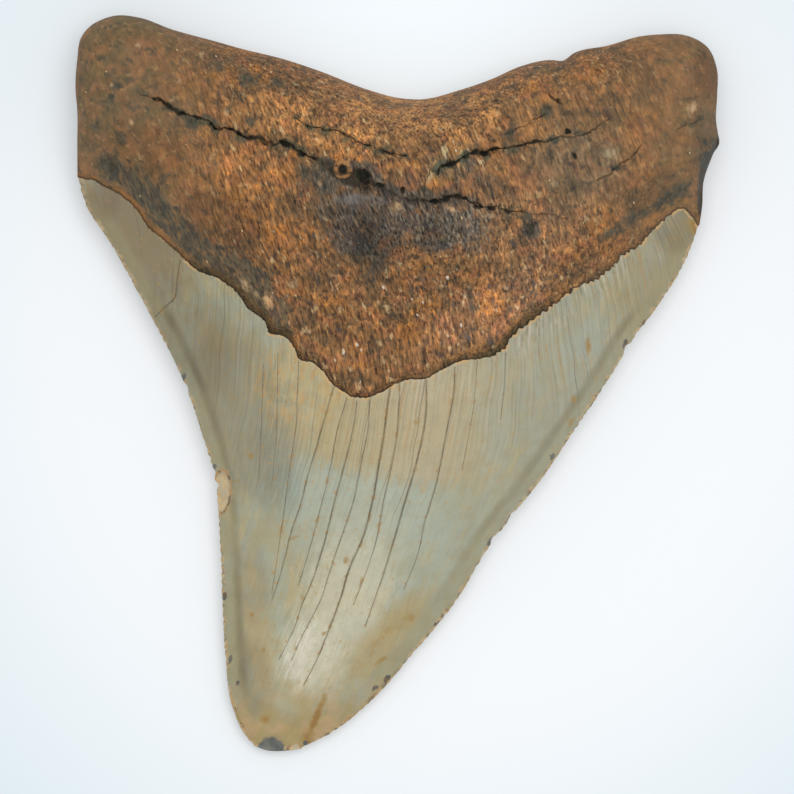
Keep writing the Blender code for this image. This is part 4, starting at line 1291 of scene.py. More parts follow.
def crown_ground(f, colours):
    """The blade's main colour, with its warm and cool streaks and its cream middle."""
    base = f.between(colours.enamel, colours.blue_grey, f.blotches(9.0, 0.35, 0.7))
    sunny = f.streaks(1.9, 10.0, 0.50, 0.64, 77.0)
    base = f.tint(base, (0.48, 0.37, 0.175), sunny, 0.45)
    chilly = f.streaks(1.7, 9.0, 0.50, 0.64, 83.0)
    base = f.tint(base, (0.33, 0.36, 0.30), chilly, 0.45)
    cream = f.math("MAXIMUM", f.zone(-8.0, -33.0, 9.0, 17.0, -22.0, 0.3),
                   f.times(f.zone(-13.0, -43.0, 7.0, 9.0, -20.0, 0.3), 1.2))
    base = f.tint(base, colours.cream, cream, 0.72)
    right = f.zone(24.0, 2.0, 14.0, 16.0, -35.0, 0.2)
    return f.tint(base, (0.335, 0.337, 0.266), right, 0.45)


def crown_bands(f, colours, base):
    """The warm cap below the root, the blue-grey band under it and the areas lower down, with painted
    shade and a painted highlight among them.
    """
    upper = f.mark("upper")
    step = f.math("ADD", -12.0, f.times(f.spread(f.x, -14.0, -7.0), -2.2))
    step = f.math("ADD", step, f.times(f.spread(f.x, -5.0, 3.0), -2.2))
    step = f.math("ADD", step, f.times(f.falls(f.x, -27.0, -15.0), 5.0))
    ragged = f.times(f.math("SUBTRACT", f.streaks(0.5, 10.0, 0.3, 0.7), 0.5), 2.2)
    below_cap = f.math("SUBTRACT", f.math("ADD", step, ragged), f.y)
    cap = f.times(f.falls(below_cap, -2.5, 2.0), f.spread(f.x, -24.0, -8.0))
    cap = f.times(cap, f.falls(f.x, 4.0, 22.0), upper)
    warm = f.between(colours.tan, (0.455, 0.37, 0.222), f.spread(f.x, -10.0, 6.0))
    base = f.mix(f.times(cap, 0.8), base, warm)
    band = f.times(f.spread(below_cap, -1.5, 2.0), f.falls(below_cap, 4.0, 20.0))
    band = f.times(band, f.spread(f.x, -26.0, -14.0), f.falls(f.x, 4.0, 18.0), upper)
    base = f.tint(base, (0.378, 0.41, 0.325), band, 0.7)
    # Painted shade: a darker blue-grey spot on the left of the blade
    painted_shade_spot = f.zone(-20.8, -13.0, 6.0, 8.0, 0.0, 0.4)
    base = f.tint(base, (0.24, 0.258, 0.21), painted_shade_spot, 0.55)
    sandy = f.zone(-22.0, -42.0, 3.0, 9.0, 8.0, 0.4)
    base = f.tint(base, (0.44, 0.34, 0.17), sandy, 0.6)
    # Painted shade: a soft dark band down the left strip towards the tip
    painted_strip_shade = f.zone(-24.8, -43.0, 1.6, 8.0, 8.0, 0.3)
    base = f.tint(base, (0.29, 0.25, 0.15), painted_strip_shade, 0.5)
    # Painted highlight: pale whitish streaks low on the middle of the blade
    painted_highlight = f.times(f.zone(-15.0, -43.0, 3.6, 7.5, -25.0, 0.5), f.streaks(0.8, 7.0, 0.35, 0.6, 36.0))
    return f.tint(base, (0.66, 0.62, 0.50), painted_highlight, 0.7)


def crown_ends(f, base):
    """Painted shade on the left side and left shoulder, the darker right shoulder, the tip and the
    gold beside it.
    """
    # Painted shade: the left side of the blade and its left shoulder are darkened
    shade = f.zone(-25.0, -2.0, 9.0, 17.0, 20.0, 0.2)
    base = f.tint(base, (0.22, 0.175, 0.098), shade, 0.5)
    painted_shoulder_shade = f.zone(-42.0, 24.0, 12.0, 16.0, 0.0, 0.2)
    base = f.tint(base, (0.215, 0.150, 0.071), painted_shoulder_shade, 0.8)
    far = f.zone(42.0, 18.0, 12.0, 9.0, 40.0, 0.2)
    base = f.tint(base, (0.27, 0.21, 0.11), far, 0.4)
    tip = f.falls(f.math("ADD", f.y, f.times(f.blotches(4.0, 0.3, 0.7), 4.0)), -54.0, -43.0)
    uneven = f.blotches(3.2, 0.4, 0.6, 66.0)
    tip_tone = f.between((0.465, 0.30, 0.135), (0.365, 0.268, 0.102), uneven)
    # Painted shade: a dark band on the tip's left side, where the groove's band ends
    painted_tip_shade = f.zone(-23.4, -50.0, 1.2, 3.6, 14.0)
    tip_tone = f.tint(tip_tone, (0.23, 0.20, 0.12), painted_tip_shade, 0.6)
    base = f.mix(f.times(tip, 0.92), base, tip_tone)
    gold = f.zone(-1.0, -40.0, 12.0, 3.6, 48.0, 0.3)
    base = f.tint(base, (0.40, 0.30, 0.125), gold, 0.7)
    mottled = f.blotches(2.2, 0.4, 0.7, 27.0)
    return f.tint(base, (0.22, 0.17, 0.09), mottled, 0.14)


def crown_margins(f, colours, base):
    """The strips inside the cutting edges, the painted shade in the groove beside them, and the worn
    edge itself.
    """
    rim = f.mark("rim")
    uneven = f.times(f.blotches(4.0, 0.3, 0.7), 0.9)
    strip = f.falls(f.math("ADD", rim, uneven), 2.4, 4.2)
    above_tip = f.spread(f.y, -54.0, -45.0)
    strip = f.times(strip, f.falls(f.mark("seam"), -5.0, -1.0), above_tip)
    base = f.tint(base, colours.olive, strip, 0.5)
    # Painted shade: a dark band along the shallow groove about 2.6 mm inside the cutting edges
    off = f.math("ABSOLUTE", f.math("SUBTRACT", rim, 2.6))
    groove = f.times(f.falls(off, 0.1, 1.1), f.falls(f.y, 10.0, 13.0), above_tip)
    upper_half = f.times(f.spread(f.y, -18.0, -4.0), 0.18)
    patchy = f.math("ADD", upper_half, f.times(f.blotches(6.0, 0.35, 0.65, 58.0), 0.26))
    right_end = f.times(f.spread(f.y, -42.0, -25.0), 0.8)
    right_end = f.math("MAXIMUM", right_end, f.falls(f.x, -20.0, -12.0))
    groove = f.times(groove, f.math("ADD", 0.2, patchy), right_end)
    base = f.tint(base, (0.15, 0.115, 0.050), groove)
    grime = f.times(f.falls(rim, 2.0, 9.0), f.blotches(3.0, 0.4, 0.7, 6.0))
    base = f.tint(base, (0.24, 0.19, 0.10), grime, 0.22)

    worn = f.falls(f.math("ADD", rim, f.times(f.blotches(1.6, 0.35, 0.65), 0.6)), 0.35, 1.0)
    edge = f.between(colours.worn_edge, (0.54, 0.40, 0.22), f.blotches(1.3, 0.45, 0.55, 14.0))
    edge = f.tint(edge, (0.10, 0.075, 0.05), f.blotches(0.9, 0.53, 0.61, 31.0), 0.8)
    return f.mix(f.times(worn, 0.85), base, edge)


def crown_lines(f, base):
    """Fine lines, cracks and streaks along the blade, and how much they stand out."""
    seam = f.mark("seam")
    near_root = f.times(f.spread(seam, -22.0, -2.0), f.spread(f.x, -40.0, -30.0))
    fading = f.times(f.math("ADD", 0.3, f.times(near_root, 0.7)), f.spread(f.x, -38.0, -30.0))
    dark = f.lines(0.62, 0.2, 14.0, 0.42)
    base = f.tint(base, (0.16, 0.135, 0.085), dark, fading, 0.32)
    pale = f.lines(0.8, 0.24, 12.0, 0.46, 11.0)
    base = f.tint(base, (0.60, 0.56, 0.44), pale, fading, 0.2)
    rusty = f.times(f.lines(1.2, 0.2, 7.0, 0.5, 23.0), near_root, f.spread(f.x, -24.0, -14.0))
    base = f.tint(base, (0.46, 0.24, 0.075), rusty, 0.6)
    cracks = f.times(f.lines(2.7, 0.1, 26.0, 0.47, 5.0), f.spread(seam, -34.0, -8.0))
    base = f.tint(base, (0.12, 0.09, 0.06), cracks, 0.62)
    freckles = f.blotches(0.7, 0.6, 0.7, 17.0)
    base = f.tint(base, (0.42, 0.25, 0.08), freckles, 0.32)
    spots = f.streaks(0.8, 1.5, 0.67, 0.73, 97.0)
    base = f.tint(base, (0.42, 0.27, 0.09), spots, 0.5)
    seeping = f.times(f.zone(-16.0, -0.5, 8.0, 7.0, -40.0), f.streaks(0.5, 3.5, 0.5, 0.62, 89.0))
    base = f.tint(base, (0.47, 0.27, 0.09), seeping, 0.65)
    amber = f.times(f.zone(-15.0, -0.5, 7.0, 6.0, -40.0), f.blotches(2.4, 0.4, 0.6, 86.0))
    base = f.tint(base, (0.55, 0.41, 0.19), amber, 0.4)
    height = f.math("SUBTRACT", f.times(pale, 0.5), f.math("ADD", f.times(dark, 0.5), cracks))
    height = f.math("ADD", height, f.times(f.blotches(0.45, 0.3, 0.7, 47.0), 0.8))
    return base, height


def crown_stains(f, colours, base):
    """Rust, the pale and dark pleats, and a painted orange glint along the enamel edge below the root.
    """
    seam = f.mark("seam")
    rust = f.math("SUBTRACT", f.mark("rust"), f.times(f.blotches(1.2, 0.35, 0.65), 0.35))
    base = f.tint(base, colours.rust, f.spread(rust, 0.0, 0.6), 0.85)
    base = f.tint(base, (0.27, 0.135, 0.030), f.spread(rust, 0.5, 1.0), 0.8)
    pleats = f.times(f.spread(seam, -4.2, -1.0), f.spread(f.x, 8.0, 18.0), f.mark("upper"))
    pleats = f.times(pleats, f.falls(f.x, 33.0, 42.0), f.blotches(5.0, 0.35, 0.6, 85.0))
    light = f.lines(0.85, 0.3, 3.0, 0.4, 12.0)
    base = f.tint(base, (0.58, 0.53, 0.42), light, pleats, 0.75)
    shade = f.lines(0.75, 0.26, 3.0, 0.44, 20.0)
    base = f.tint(base, (0.15, 0.125, 0.08), shade, pleats, 0.7)
    # Painted highlight: a patchy orange glint along the raised enamel edge
    glow = f.times(f.spread(seam, -0.6, -0.1), f.blotches(1.8, 0.5, 0.6, 30.0))
    glow = f.times(glow, f.spread(f.x, -40.0, -33.0))
    return f.tint(base, (0.58, 0.35, 0.14), glow, 0.85)


def crown_breaks(f, colours, base):
    """The fresh chip with its ring, the slate-coloured chips and the long cracks."""
    facet = f.between((0.58, 0.43, 0.23), (0.47, 0.40, 0.26), f.blotches(1.6, 0.4, 0.62))
    facet = f.tint(facet, (0.55, 0.31, 0.10), f.blotches(0.9, 0.5, 0.65, 8.0), 0.6)
    fresh = f.mark("fresh")
    base = f.mix(fresh, base, facet)
    ring = f.times(f.spread(fresh, 0.05, 0.35), f.falls(fresh, 0.5, 0.9))
    base = f.tint(base, (0.44, 0.215, 0.055), ring, 0.75)
    soot = f.times(ring, f.blotches(1.8, 0.5, 0.56, 21.0))
    base = f.tint(base, (0.075, 0.065, 0.04), soot, 0.8)
    slate = f.between(colours.slate, (0.150, 0.146, 0.125), f.blotches(2.0, 0.35, 0.65, 2.0))
    rusted = f.times(f.spread(f.y, -56.0, -54.0), f.blotches(0.8, 0.44, 0.56, 59.0), 0.75)
    slate = f.tint(slate, (0.20, 0.125, 0.055), rusted)
    base = f.mix(f.spread(f.mark("slate"), 0.2, 0.8), base, slate)
    scarce = f.inverse(f.blotches(1.2, 0.56, 0.66, 41.0))
    beside = f.math("SUBTRACT", f.times(f.mark("halo"), 2.0), scarce)
    base = f.tint(base, (0.40, 0.235, 0.075), f.spread(beside, 0.0, 0.6), 0.6)
    patchy = f.math("ADD", 0.5, f.times(f.blotches(2.4, 0.35, 0.65, 5.0), 0.4))
    thin = f.times(f.spread(f.mark("crack"), 0.05, 0.95), patchy, 0.9)
    return f.tint(base, (0.115, 0.085, 0.050), thin)


def enamel_finish(colours, groups):
    """Worn enamel: areas of cream, tan and blue grey under fine lines and stains."""
    f = Finish("worn enamel", groups)
    base = crown_bands(f, colours, crown_ground(f, colours))
    base, height = crown_lines(f, crown_ends(f, base))
    base = f.shaded(crown_margins(f, colours, base), CROWN_SHADES)
    base = crown_breaks(f, colours, crown_stains(f, colours, base))
    rough = f.math("ADD", 0.38, f.times(f.blotches(3.0, 0.3, 0.7, 4.0), 0.14))
    return f.close(base, rough, height, ENAMEL_BUMP, 0.6)


def root_ground(f, colours, lobe):
    """Orange and brown areas of the root, its stony lobes and soft mottling."""
    glow = f.math("MAXIMUM", f.times(f.blotches(6.0, 0.42, 0.58, 9.0), 0.8), f.mark("orange"))
    base = f.between(colours.root, colours.root_orange, f.times(glow, 0.9))
    stone = f.between((0.121, 0.085, 0.041), (0.184, 0.102, 0.048), f.spread(f.x, -25.0, 25.0))
    stone = f.tint(stone, (0.160, 0.125, 0.062), f.blotches(4.0, 0.4, 0.6, 101.0), 0.6)
    stone = f.tint(stone, (0.245, 0.135, 0.072), f.blotches(3.2, 0.46, 0.62, 105.0), 0.6)
    base = f.mix(f.times(lobe, 0.8), base, stone)
    top = f.times(f.zone(-1.0, 43.0, 24.0, 5.5), 0.85)
    base = f.tint(base, (0.60, 0.29, 0.10), top)
    middle_right = f.times(f.zone(26.0, 33.0, 12.0, 8.0, 20.0), 0.58)
    below = f.times(f.zone(19.0, 21.5, 7.5, 5.0, 15.0), 0.55)
    middle_right = f.math("MAXIMUM", middle_right, below)
    base = f.tint(base, (0.44, 0.235, 0.110), middle_right)
    soft = f.math("SUBTRACT", 1.0, f.times(lobe, 0.6))
    dull = f.times(f.blotches(5.4, 0.46, 0.58, 3.0), soft)
    base = f.tint(base, (0.135, 0.088, 0.045), dull, 0.62)
    reddish = f.blotches(3.0, 0.5, 0.62, 71.0)
    base = f.tint(base, (0.345, 0.143, 0.061), reddish, soft, 0.65)
    bright = f.blotches(1.9, 0.52, 0.66, 12.0)
    base = f.tint(base, (0.48, 0.228, 0.084), bright, soft, 0.5)
    olive = f.blotches(1.8, 0.46, 0.62, 5.0)
    base = f.tint(base, (0.110, 0.076, 0.038), olive, soft, 0.42)
    gloom = f.times(f.blotches(1.3, 0.56, 0.66, 44.0), soft, 0.6)
    return f.tint(base, (0.058, 0.050, 0.034), gloom)


def root_fibres(f, colours, base, lobe):
    """Fibres in the middle of the root, finer specks on its lobes, and their relief."""
    quiet = f.math("MAXIMUM", lobe, f.times(f.zone(30.0, 38.0, 14.0, 14.0), 0.55))
    calm = f.math("SUBTRACT", 1.0, f.times(quiet, 0.8))
    light = f.times(f.streaks(0.40, 1.7, 0.48, 0.74, 11.0), calm)
    base = f.mix(light, base, (2.0, 1.88, 1.68, 1.0), "MULTIPLY")
    strands = f.streaks(0.40, 1.9, 0.30, 0.56)
    base = f.mix(f.times(f.inverse(strands), calm), base, (0.38, 0.38, 0.42, 1.0), "MULTIPLY")
    tuft = f.times(f.streaks(1.1, 3.4, 0.42, 0.62, 52.0), calm)
    base = f.mix(tuft, base, (0.72, 0.72, 0.74, 1.0), "MULTIPLY")

    slate = f.times(f.streaks(0.7, 2.6, 0.62, 0.71, 61.0), calm)
    base = f.tint(base, (0.060, 0.062, 0.060), slate, 0.6)
    cream = f.times(f.streaks(0.9, 1.8, 0.60, 0.74, 40.0), calm)
    base = f.tint(base, colours.grain, cream, 0.75)
    holes = f.times(f.streaks(0.45, 1.1, 0.63, 0.73, 25.0), calm)
    base = f.tint(base, (0.026, 0.018, 0.010), holes, 0.6)
    specks = f.times(f.streaks(1.1, 1.1, 0.60, 0.76, 111.0), lobe, 0.6)
    base = f.tint(base, (0.38, 0.24, 0.105), specks)
    moss = f.times(f.streaks(1.2, 1.4, 0.56, 0.70, 108.0), lobe, 0.6)
    base = f.tint(base, (0.060, 0.058, 0.038), moss)
    height = f.math("ADD", f.times(strands, 0.5), f.times(light, 0.4))
    return base, f.times(f.math("SUBTRACT", height, f.times(holes, 0.8)), calm), strands


def root_dusk(f, strands):
    """The colour of the root's dark patches, deepest in the middle, with lit fibres."""
    dusk = f.between((0.010, 0.009, 0.007), (0.088, 0.070, 0.050), strands)
    violet = f.times(f.blotches(3.0, 0.46, 0.6, 91.0), 0.45)
    dusk = f.tint(dusk, (0.050, 0.051, 0.056), violet)
    lit = f.streaks(0.36, 1.5, 0.51, 0.68, 33.0)
    dusk = f.tint(dusk, (0.30, 0.25, 0.18), lit, 0.6)
    spot = f.between((0.050, 0.050, 0.036), (0.092, 0.084, 0.056), f.blotches(1.2, 0.4, 0.6, 121.0))
    dusk = f.mix(f.zone(3.0, 27.5, 21.0, 13.0), spot, dusk)
    smear = f.times(f.zone(-7.4, 32.8, 5.8, 1.6, -33.0, 0.3), f.mark("upper"))
    dusk = f.mix(smear, dusk, (0.34, 0.37, 0.33, 1.0), "MULTIPLY")
    deepest = f.times(f.spread(f.mark("dark"), 0.9, 1.3), f.blotches(3.4, 0.35, 0.6, 95.0))
    return f.mix(deepest, dusk, (0.36, 0.36, 0.40, 1.0), "MULTIPLY")


def root_patches(f, base, strands):
    """The dark patches, the slate band beside the enamel line and the pale spots."""
    seam = f.mark("seam")
    dusk = root_dusk(f, strands)
    dark = f.math("SUBTRACT", f.mark("dark"), f.times(f.blotches(2.6, 0.3, 0.7), 0.45))
    dark = f.math("SUBTRACT", dark, f.times(f.blotches(0.9, 0.4, 0.6, 117.0), f.mark("lobe"), 0.35))
    warm = f.times(f.streaks(0.6, 2.4, 0.5, 0.7, 81.0), 0.35)
    deep = f.math("SUBTRACT", f.times(f.spread(dark, -0.12, 0.62), 0.92), warm)
    base = f.mix(f.math("MAXIMUM", deep, 0.0), base, dusk)

    band = f.times(f.spread(seam, 0.6, 1.6), f.falls(seam, 3.6, 6.8))
    band = f.times(band, f.falls(f.x, -22.0, -12.0), f.spread(f.x, -47.5, -44.0), f.mark("upper"))
    band = f.math("SUBTRACT", f.times(band, 1.55), f.times(f.blotches(2.6, 0.38, 0.6, 19.0), 0.75))
    slate = f.between((0.030, 0.030, 0.024), (0.105, 0.090, 0.056), strands)
    slate = f.tint(slate, (0.034, 0.037, 0.034), f.streaks(1.5, 2.4, 0.46, 0.62, 63.0), 0.7)
    slate = f.tint(slate, (0.24, 0.135, 0.055), f.streaks(0.9, 2.0, 0.52, 0.66, 23.0), 0.7)
    base = f.mix(f.times(f.spread(band, 0.0, 0.7), 0.85), base, slate)
    mist = f.times(f.zone(-6.4, 29.2, 5.2, 0.9, -6.0), f.blotches(1.6, 0.35, 0.6, 29.0))
    base = f.tint(base, (0.185, 0.175, 0.160), mist, 0.55)

    halo = f.math("SUBTRACT", f.mark("halo"), f.times(f.blotches(2.4, 0.35, 0.6, 7.0), 0.9))
    green = f.between((0.028, 0.028, 0.018), (0.085, 0.078, 0.046), strands)
    base = f.mix(f.times(f.spread(halo, 0.0, 0.6), 0.85), base, green)
    pale = f.math("SUBTRACT", f.mark("pale"), f.times(f.blotches(1.0, 0.3, 0.7), 0.5))
    cream = f.between((0.36, 0.215, 0.095), (0.56, 0.38, 0.20), strands)
    return f.mix(f.times(f.spread(pale, -0.1, 0.8), 0.8), base, cream)


def root_borders(f, base, strands):
    """The orange rim, the lip, the worn shelf, which on the right is partly painted shadow, and the
    shadow beside the enamel line.
    """
    seam = f.mark("seam")
    orange_rim = f.times(f.falls(seam, 0.5, 0.9), f.falls(f.x, -34.0, -31.0))
    lip = f.times(f.spread(seam, 0.7, 1.0), f.falls(seam, 1.2, 2.1), f.spread(f.x, 2.0, 10.0))
    lip = f.times(lip, f.blotches(2.2, 0.38, 0.55, 73.0), f.math("ADD", 0.4, f.times(strands, 0.6)))
    warm = f.times(f.math("MAXIMUM", orange_rim, lip), f.blotches(1.3, 0.35, 0.6))
    base = f.tint(base, (0.36, 0.165, 0.05), warm, 0.75)
    # Dark worn shelf; on the right it is partly painted shadow under the overhanging root
    shelf = f.between((0.040, 0.032, 0.017), (0.125, 0.088, 0.040), f.blotches(0.9, 0.35, 0.65))
    shelf = f.tint(shelf, (0.17, 0.115, 0.05), strands, 0.35)
    base = f.mix(f.times(f.mark("ledge"), 0.85), base, shelf)
    shadow = f.times(f.falls(seam, 0.12, 0.5), f.mark("upper"))
    return f.tint(base, (0.035, 0.027, 0.018), shadow, 0.7)


def root_breaks(f, colours, base):
    """The orange ring around the hole, the slate-coloured chips and the cracks."""
    ring_reach = f.math("ABSOLUTE", f.math("SUBTRACT", f.ring(-8.7, 34.0), 1.15))
    ring = f.times(f.falls(ring_reach, 0.15, 0.5), f.blotches(0.9, 0.25, 0.45, 37.0))
    ring = f.times(ring, f.mark("upper"))
    base = f.tint(base, (0.42, 0.20, 0.07), ring, 0.85)
    slate = f.between(colours.slate, (0.07, 0.055, 0.04), f.blotches(1.4, 0.35, 0.65, 2.0))
    base = f.mix(f.times(f.spread(f.mark("slate"), 0.1, 0.9), 0.9), base, slate)
    patchy = f.math("ADD", 0.22, f.times(f.blotches(1.5, 0.34, 0.54), 0.78))
    patchy = f.math("MAXIMUM", patchy, f.times(f.spread(f.mark("crack"), 0.9, 1.3), 0.96))
    depth = f.times(f.spread(f.mark("crack"), 0.0, 0.8), patchy)
    return f.tint(base, (0.017, 0.016, 0.010), depth)


def root_finish(colours, groups):
    """Fibrous root: orange and dark brown strands with mineral patches and cracks."""
    f = Finish("fibrous root", groups)
    lobe = f.mark("lobe")
    base = root_ground(f, colours, lobe)
    base, height, strands = root_fibres(f, colours, base, lobe)
    base = f.shaded(root_patches(f, base, strands), ROOT_SHADES)
    base = root_breaks(f, colours, root_borders(f, base, strands))
    rough = f.math("ADD", 0.66, f.times(strands, 0.15))
    f.shader.inputs["Specular IOR Level"].default_value = 0.25
    return f.close(base, rough, height, ROOT_BUMP, 0.9)


def grain_finish(colours, groups):
    """Pale mineral grains."""
    f = Finish("mineral grain", groups)
    base = f.between(colours.grain, (0.62, 0.54, 0.42), f.mark("shade"))
    base = f.tint(base, colours.root_light, f.blotches(0.5, 0.4, 0.6), 0.4)
    rough = f.math("ADD", 0.5, f.times(f.blotches(0.8, 0.3, 0.7), 0.2))
    return f.close(base, rough, f.blotches(0.3, 0.3, 0.7), ENAMEL_BUMP, 0.6)


def relief_tree():
    """Geometry Nodes that raise the root's fibres, sink its pores and line the blade."""
    group, given, result = new_group(
        "Tooth relief", "GeometryNodeTree",
        [("Geometry", "NodeSocketGeometry", None), ("Fibre width", "NodeSocketFloat", 0.9),
         ("Fibre length", "NodeSocketFloat", 3.5), ("Fibre depth", "NodeSocketFloat", 0.0002),
         ("Pit depth", "NodeSocketFloat", 0.0002), ("Striation depth", "NodeSocketFloat", 0.00004),
         ("Seed", "NodeSocketFloat", 7.0), ("Root finish", "NodeSocketMaterial", None),
         ("Enamel finish", "NodeSocketMaterial", None)],
        [("Geometry", "NodeSocketGeometry")],
    )

    def named(name, kind):
        node = add(group, "GeometryNodeInputNamedAttribute", {"Name": name}, data_type=kind)
        return node.outputs["Attribute"]

    grain = named("grain", "FLOAT_VECTOR")
    seam = named("seam", "FLOAT")
    give = named("give", "FLOAT")
    on_root = spread(group, seam, 0.2, 0.9)
    shift = add(group, "ShaderNodeCombineXYZ", {0: given["Seed"], 1: 0.0, 2: given["Seed"]}).outputs[0]

    def strands(width, length, detail):
        value = grain_noise(group, grain, width, length, shift, detail)
        return calc(group, "SUBTRACT", value, 0.5)

    fibres = calc(group, "MULTIPLY", strands(given["Fibre width"], given["Fibre length"], 2.0), 2.2)
    fibres = calc(group, "MULTIPLY", fibres, given["Fibre depth"])
    pores = spread(group, strands(1.1, 1.8, 1.0), 0.12, 0.24)
    pores = calc(group, "MULTIPLY", calc(group, "MULTIPLY", pores, -1.0), given["Pit depth"])
    root_lift = calc(group, "MULTIPLY", calc(group, "ADD", fibres, pores), on_root)
    lines = calc(group, "MULTIPLY", strands(0.8, 25.0, 1.0), given["Striation depth"])
    crown_lift = calc(group, "MULTIPLY", lines, calc(group, "SUBTRACT", 1.0, on_root))
    lift = calc(group, "MULTIPLY", calc(group, "ADD", root_lift, crown_lift), give)

    normal = group.nodes.new("GeometryNodeInputNormal").outputs[0]
    offset = add(group, "ShaderNodeVectorMath", {0: normal, "Scale": lift}, operation="SCALE")
    moved = add(group, "GeometryNodeSetPosition",
                {"Geometry": given["Geometry"], "Offset": offset.outputs[0]})
    realized = add(group, "GeometryNodeRealizeInstances", {"Geometry": moved.outputs[0]})
    enamel = add(group, "GeometryNodeSetMaterial",
                 {"Geometry": realized.outputs[0], "Material": given["Enamel finish"]})
    is_root = calc(group, "GREATER_THAN", named("root_face", "FLOAT"), 0.5)
    both = add(group, "GeometryNodeSetMaterial",
               {"Geometry": enamel.outputs[0], "Selection": is_root, "Material": given["Root finish"]})
    group.links.new(both.outputs[0], result["Geometry"])
    return group


def grains_tree():
    """Geometry Nodes that set a small rounded grain at each point of a mesh."""
    group, given, result = new_group(
        "Mineral grains", "GeometryNodeTree",
        [("Geometry", "NodeSocketGeometry", None), ("Grain size", "NodeSocketFloat", 0.0003),
         ("Grain finish", "NodeSocketMaterial", None)],
        [("Geometry", "NodeSocketGeometry")],
    )
    grain = add(group, "GeometryNodeMeshIcoSphere", {"Radius": given["Grain size"], "Subdivisions": 1})
    points = add(group, "GeometryNodeMeshToPoints", {"Mesh": given["Geometry"]})
    turn = add(group, "GeometryNodeInputNamedAttribute", {"Name": "turn"}, data_type="FLOAT_VECTOR")
    size = add(group, "GeometryNodeInputNamedAttribute", {"Name": "size"}, data_type="FLOAT_VECTOR")
    angles = add(group, "FunctionNodeEulerToRotation", {0: turn.outputs["Attribute"]})
    placed = add(group, "GeometryNodeInstanceOnPoints",
                 {"Points": points.outputs[0], "Instance": grain.outputs[0],
                  "Rotation": angles.outputs[0], "Scale": size.outputs["Attribute"]})
    realized = add(group, "GeometryNodeRealizeInstances", {"Geometry": placed.outputs[0]})
    finished = add(group, "GeometryNodeSetMaterial",
                   {"Geometry": realized.outputs[0], "Material": given["Grain finish"]})
    group.links.new(finished.outputs[0], result["Geometry"])
    return group


def grown(name, mesh, tree, values):
    """Runs a Geometry Nodes tree on a mesh and returns the plain result as an object."""
    source = bpy.data.objects.new(name, mesh)
    bpy.context.scene.collection.objects.link(source)
    modifier = source.modifiers.new(tree.name, "NODES")
    modifier.node_group = tree
    for item in tree.interface.items_tree:
        if item.in_out == "INPUT" and item.name in values:
            modifier[item.identifier] = values[item.name]
    depsgraph = bpy.context.evaluated_depsgraph_get()
    depsgraph.update()
    result = bpy.data.meshes.new_from_object(source.evaluated_get(depsgraph), depsgraph=depsgraph)
    source.modifiers.remove(modifier)
    source.data = result
    result.name = name
    bpy.data.meshes.remove(mesh)
    return source


def shared_groups():
    """The effects that more than one finish uses, built once."""
    wanted = {"Grain streaks": streak_group, "Blotches": blotch_group, "Parallel lines": lines_group}
    return {name: bpy.data.node_groups.get(name) or build() for name, build in wanted.items()}


class FOSSIL_OT_tooth(bpy.types.Operator):
    """Build the tooth over its solid in the frame"""

    bl_idname = "fossil.tooth"
    bl_label = "Build the tooth"

    def execute(self, context):
        form, surface = context.scene.tooth_form, context.scene.tooth_surface
        colours, groups = context.scene.tooth_colours, shared_groups()
        vertices, faces, root_faces, marks = tooth_geometry(form)
        mesh = plain_mesh("shark_tooth", vertices, faces)
        for name, values in marks.items():
            write_mark(mesh, name, values)
        write_mark(mesh, "root_face", root_faces.astype(float), "FACE")
        mesh.shade_smooth()
        tooth = grown("shark_tooth", mesh, relief_tree(), {
            "Fibre width": surface.fibre_width / MM,
            "Fibre length": surface.fibre_length / MM,
            "Fibre depth": surface.fibre_depth,
            "Pit depth": surface.pit_depth,
            "Striation depth": surface.striation_depth,
            "Seed": float(surface.seed),
            "Root finish": root_finish(colours, groups),
            "Enamel finish": enamel_finish(colours, groups),
        })
        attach(tooth, BODY)
        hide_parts(NODE)
        return {"FINISHED"}


class FOSSIL_OT_grains(bpy.types.Operator):
    """Set pale mineral grains and flecks in the root"""

    bl_idname = "fossil.grains"
    bl_label = "Add the mineral grains"

    def execute(self, context):
        form, surface = context.scene.tooth_form, context.scene.tooth_surface
        drawing = Drawing(form)
        chance = np.random.default_rng(surface.seed)
        spots = chance.uniform((-50.0, -2.0), (50.0, 57.0), (surface.grain_count * 4, 2))
        spots = spots[inside(spots, drawing.outline)]
        clear = above_line(spots, drawing.seam) > 1.2
        clear &= distance_to_line(spots, drawing.closed) > 1.5
        spots = spots[clear][:surface.grain_count]
        shade = chance.uniform(0.0, 0.35, len(spots))
        size = chance.uniform(0.35, 1.0, len(spots)) ** 1.6
        flecks = np.array(WHITE_FLECKS)
        spots = np.vstack([spots, flecks])
        shade = np.concatenate([shade, np.ones(len(flecks))])
        size = np.concatenate([size, chance.uniform(0.6, 1.6, len(flecks))])
        height = upper_height(spots, drawing, form, drawn_marks(spots, drawing))
        centre = (drawing.outline.min(axis=0) + drawing.outline.max(axis=0)) / 2.0
        mesh = bpy.data.meshes.new("mineral_grains")
        places = np.column_stack([spots - centre, height - 0.05]) * MM
        mesh.from_pydata(places.tolist(), [], [])
        lean = np.radians(15.0 + 0.3 * spots[:, 1]) + chance.uniform(-0.3, 0.3, len(spots))
        write_mark(mesh, "turn", np.column_stack([np.zeros((len(spots), 2)), lean]))
        longer = size * chance.uniform(1.0, 1.8, len(size))
        write_mark(mesh, "size", np.column_stack([size * 0.7, longer, size * 0.4]))
        write_mark(mesh, "shade", shade)
        grains = grown("mineral_grains", mesh, grains_tree(), {
            "Grain size": 0.0003,
            "Grain finish": grain_finish(context.scene.tooth_colours, shared_groups()),
        })
        grains.data.shade_smooth()
        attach(grains, BODY)
        return {"FINISHED"}


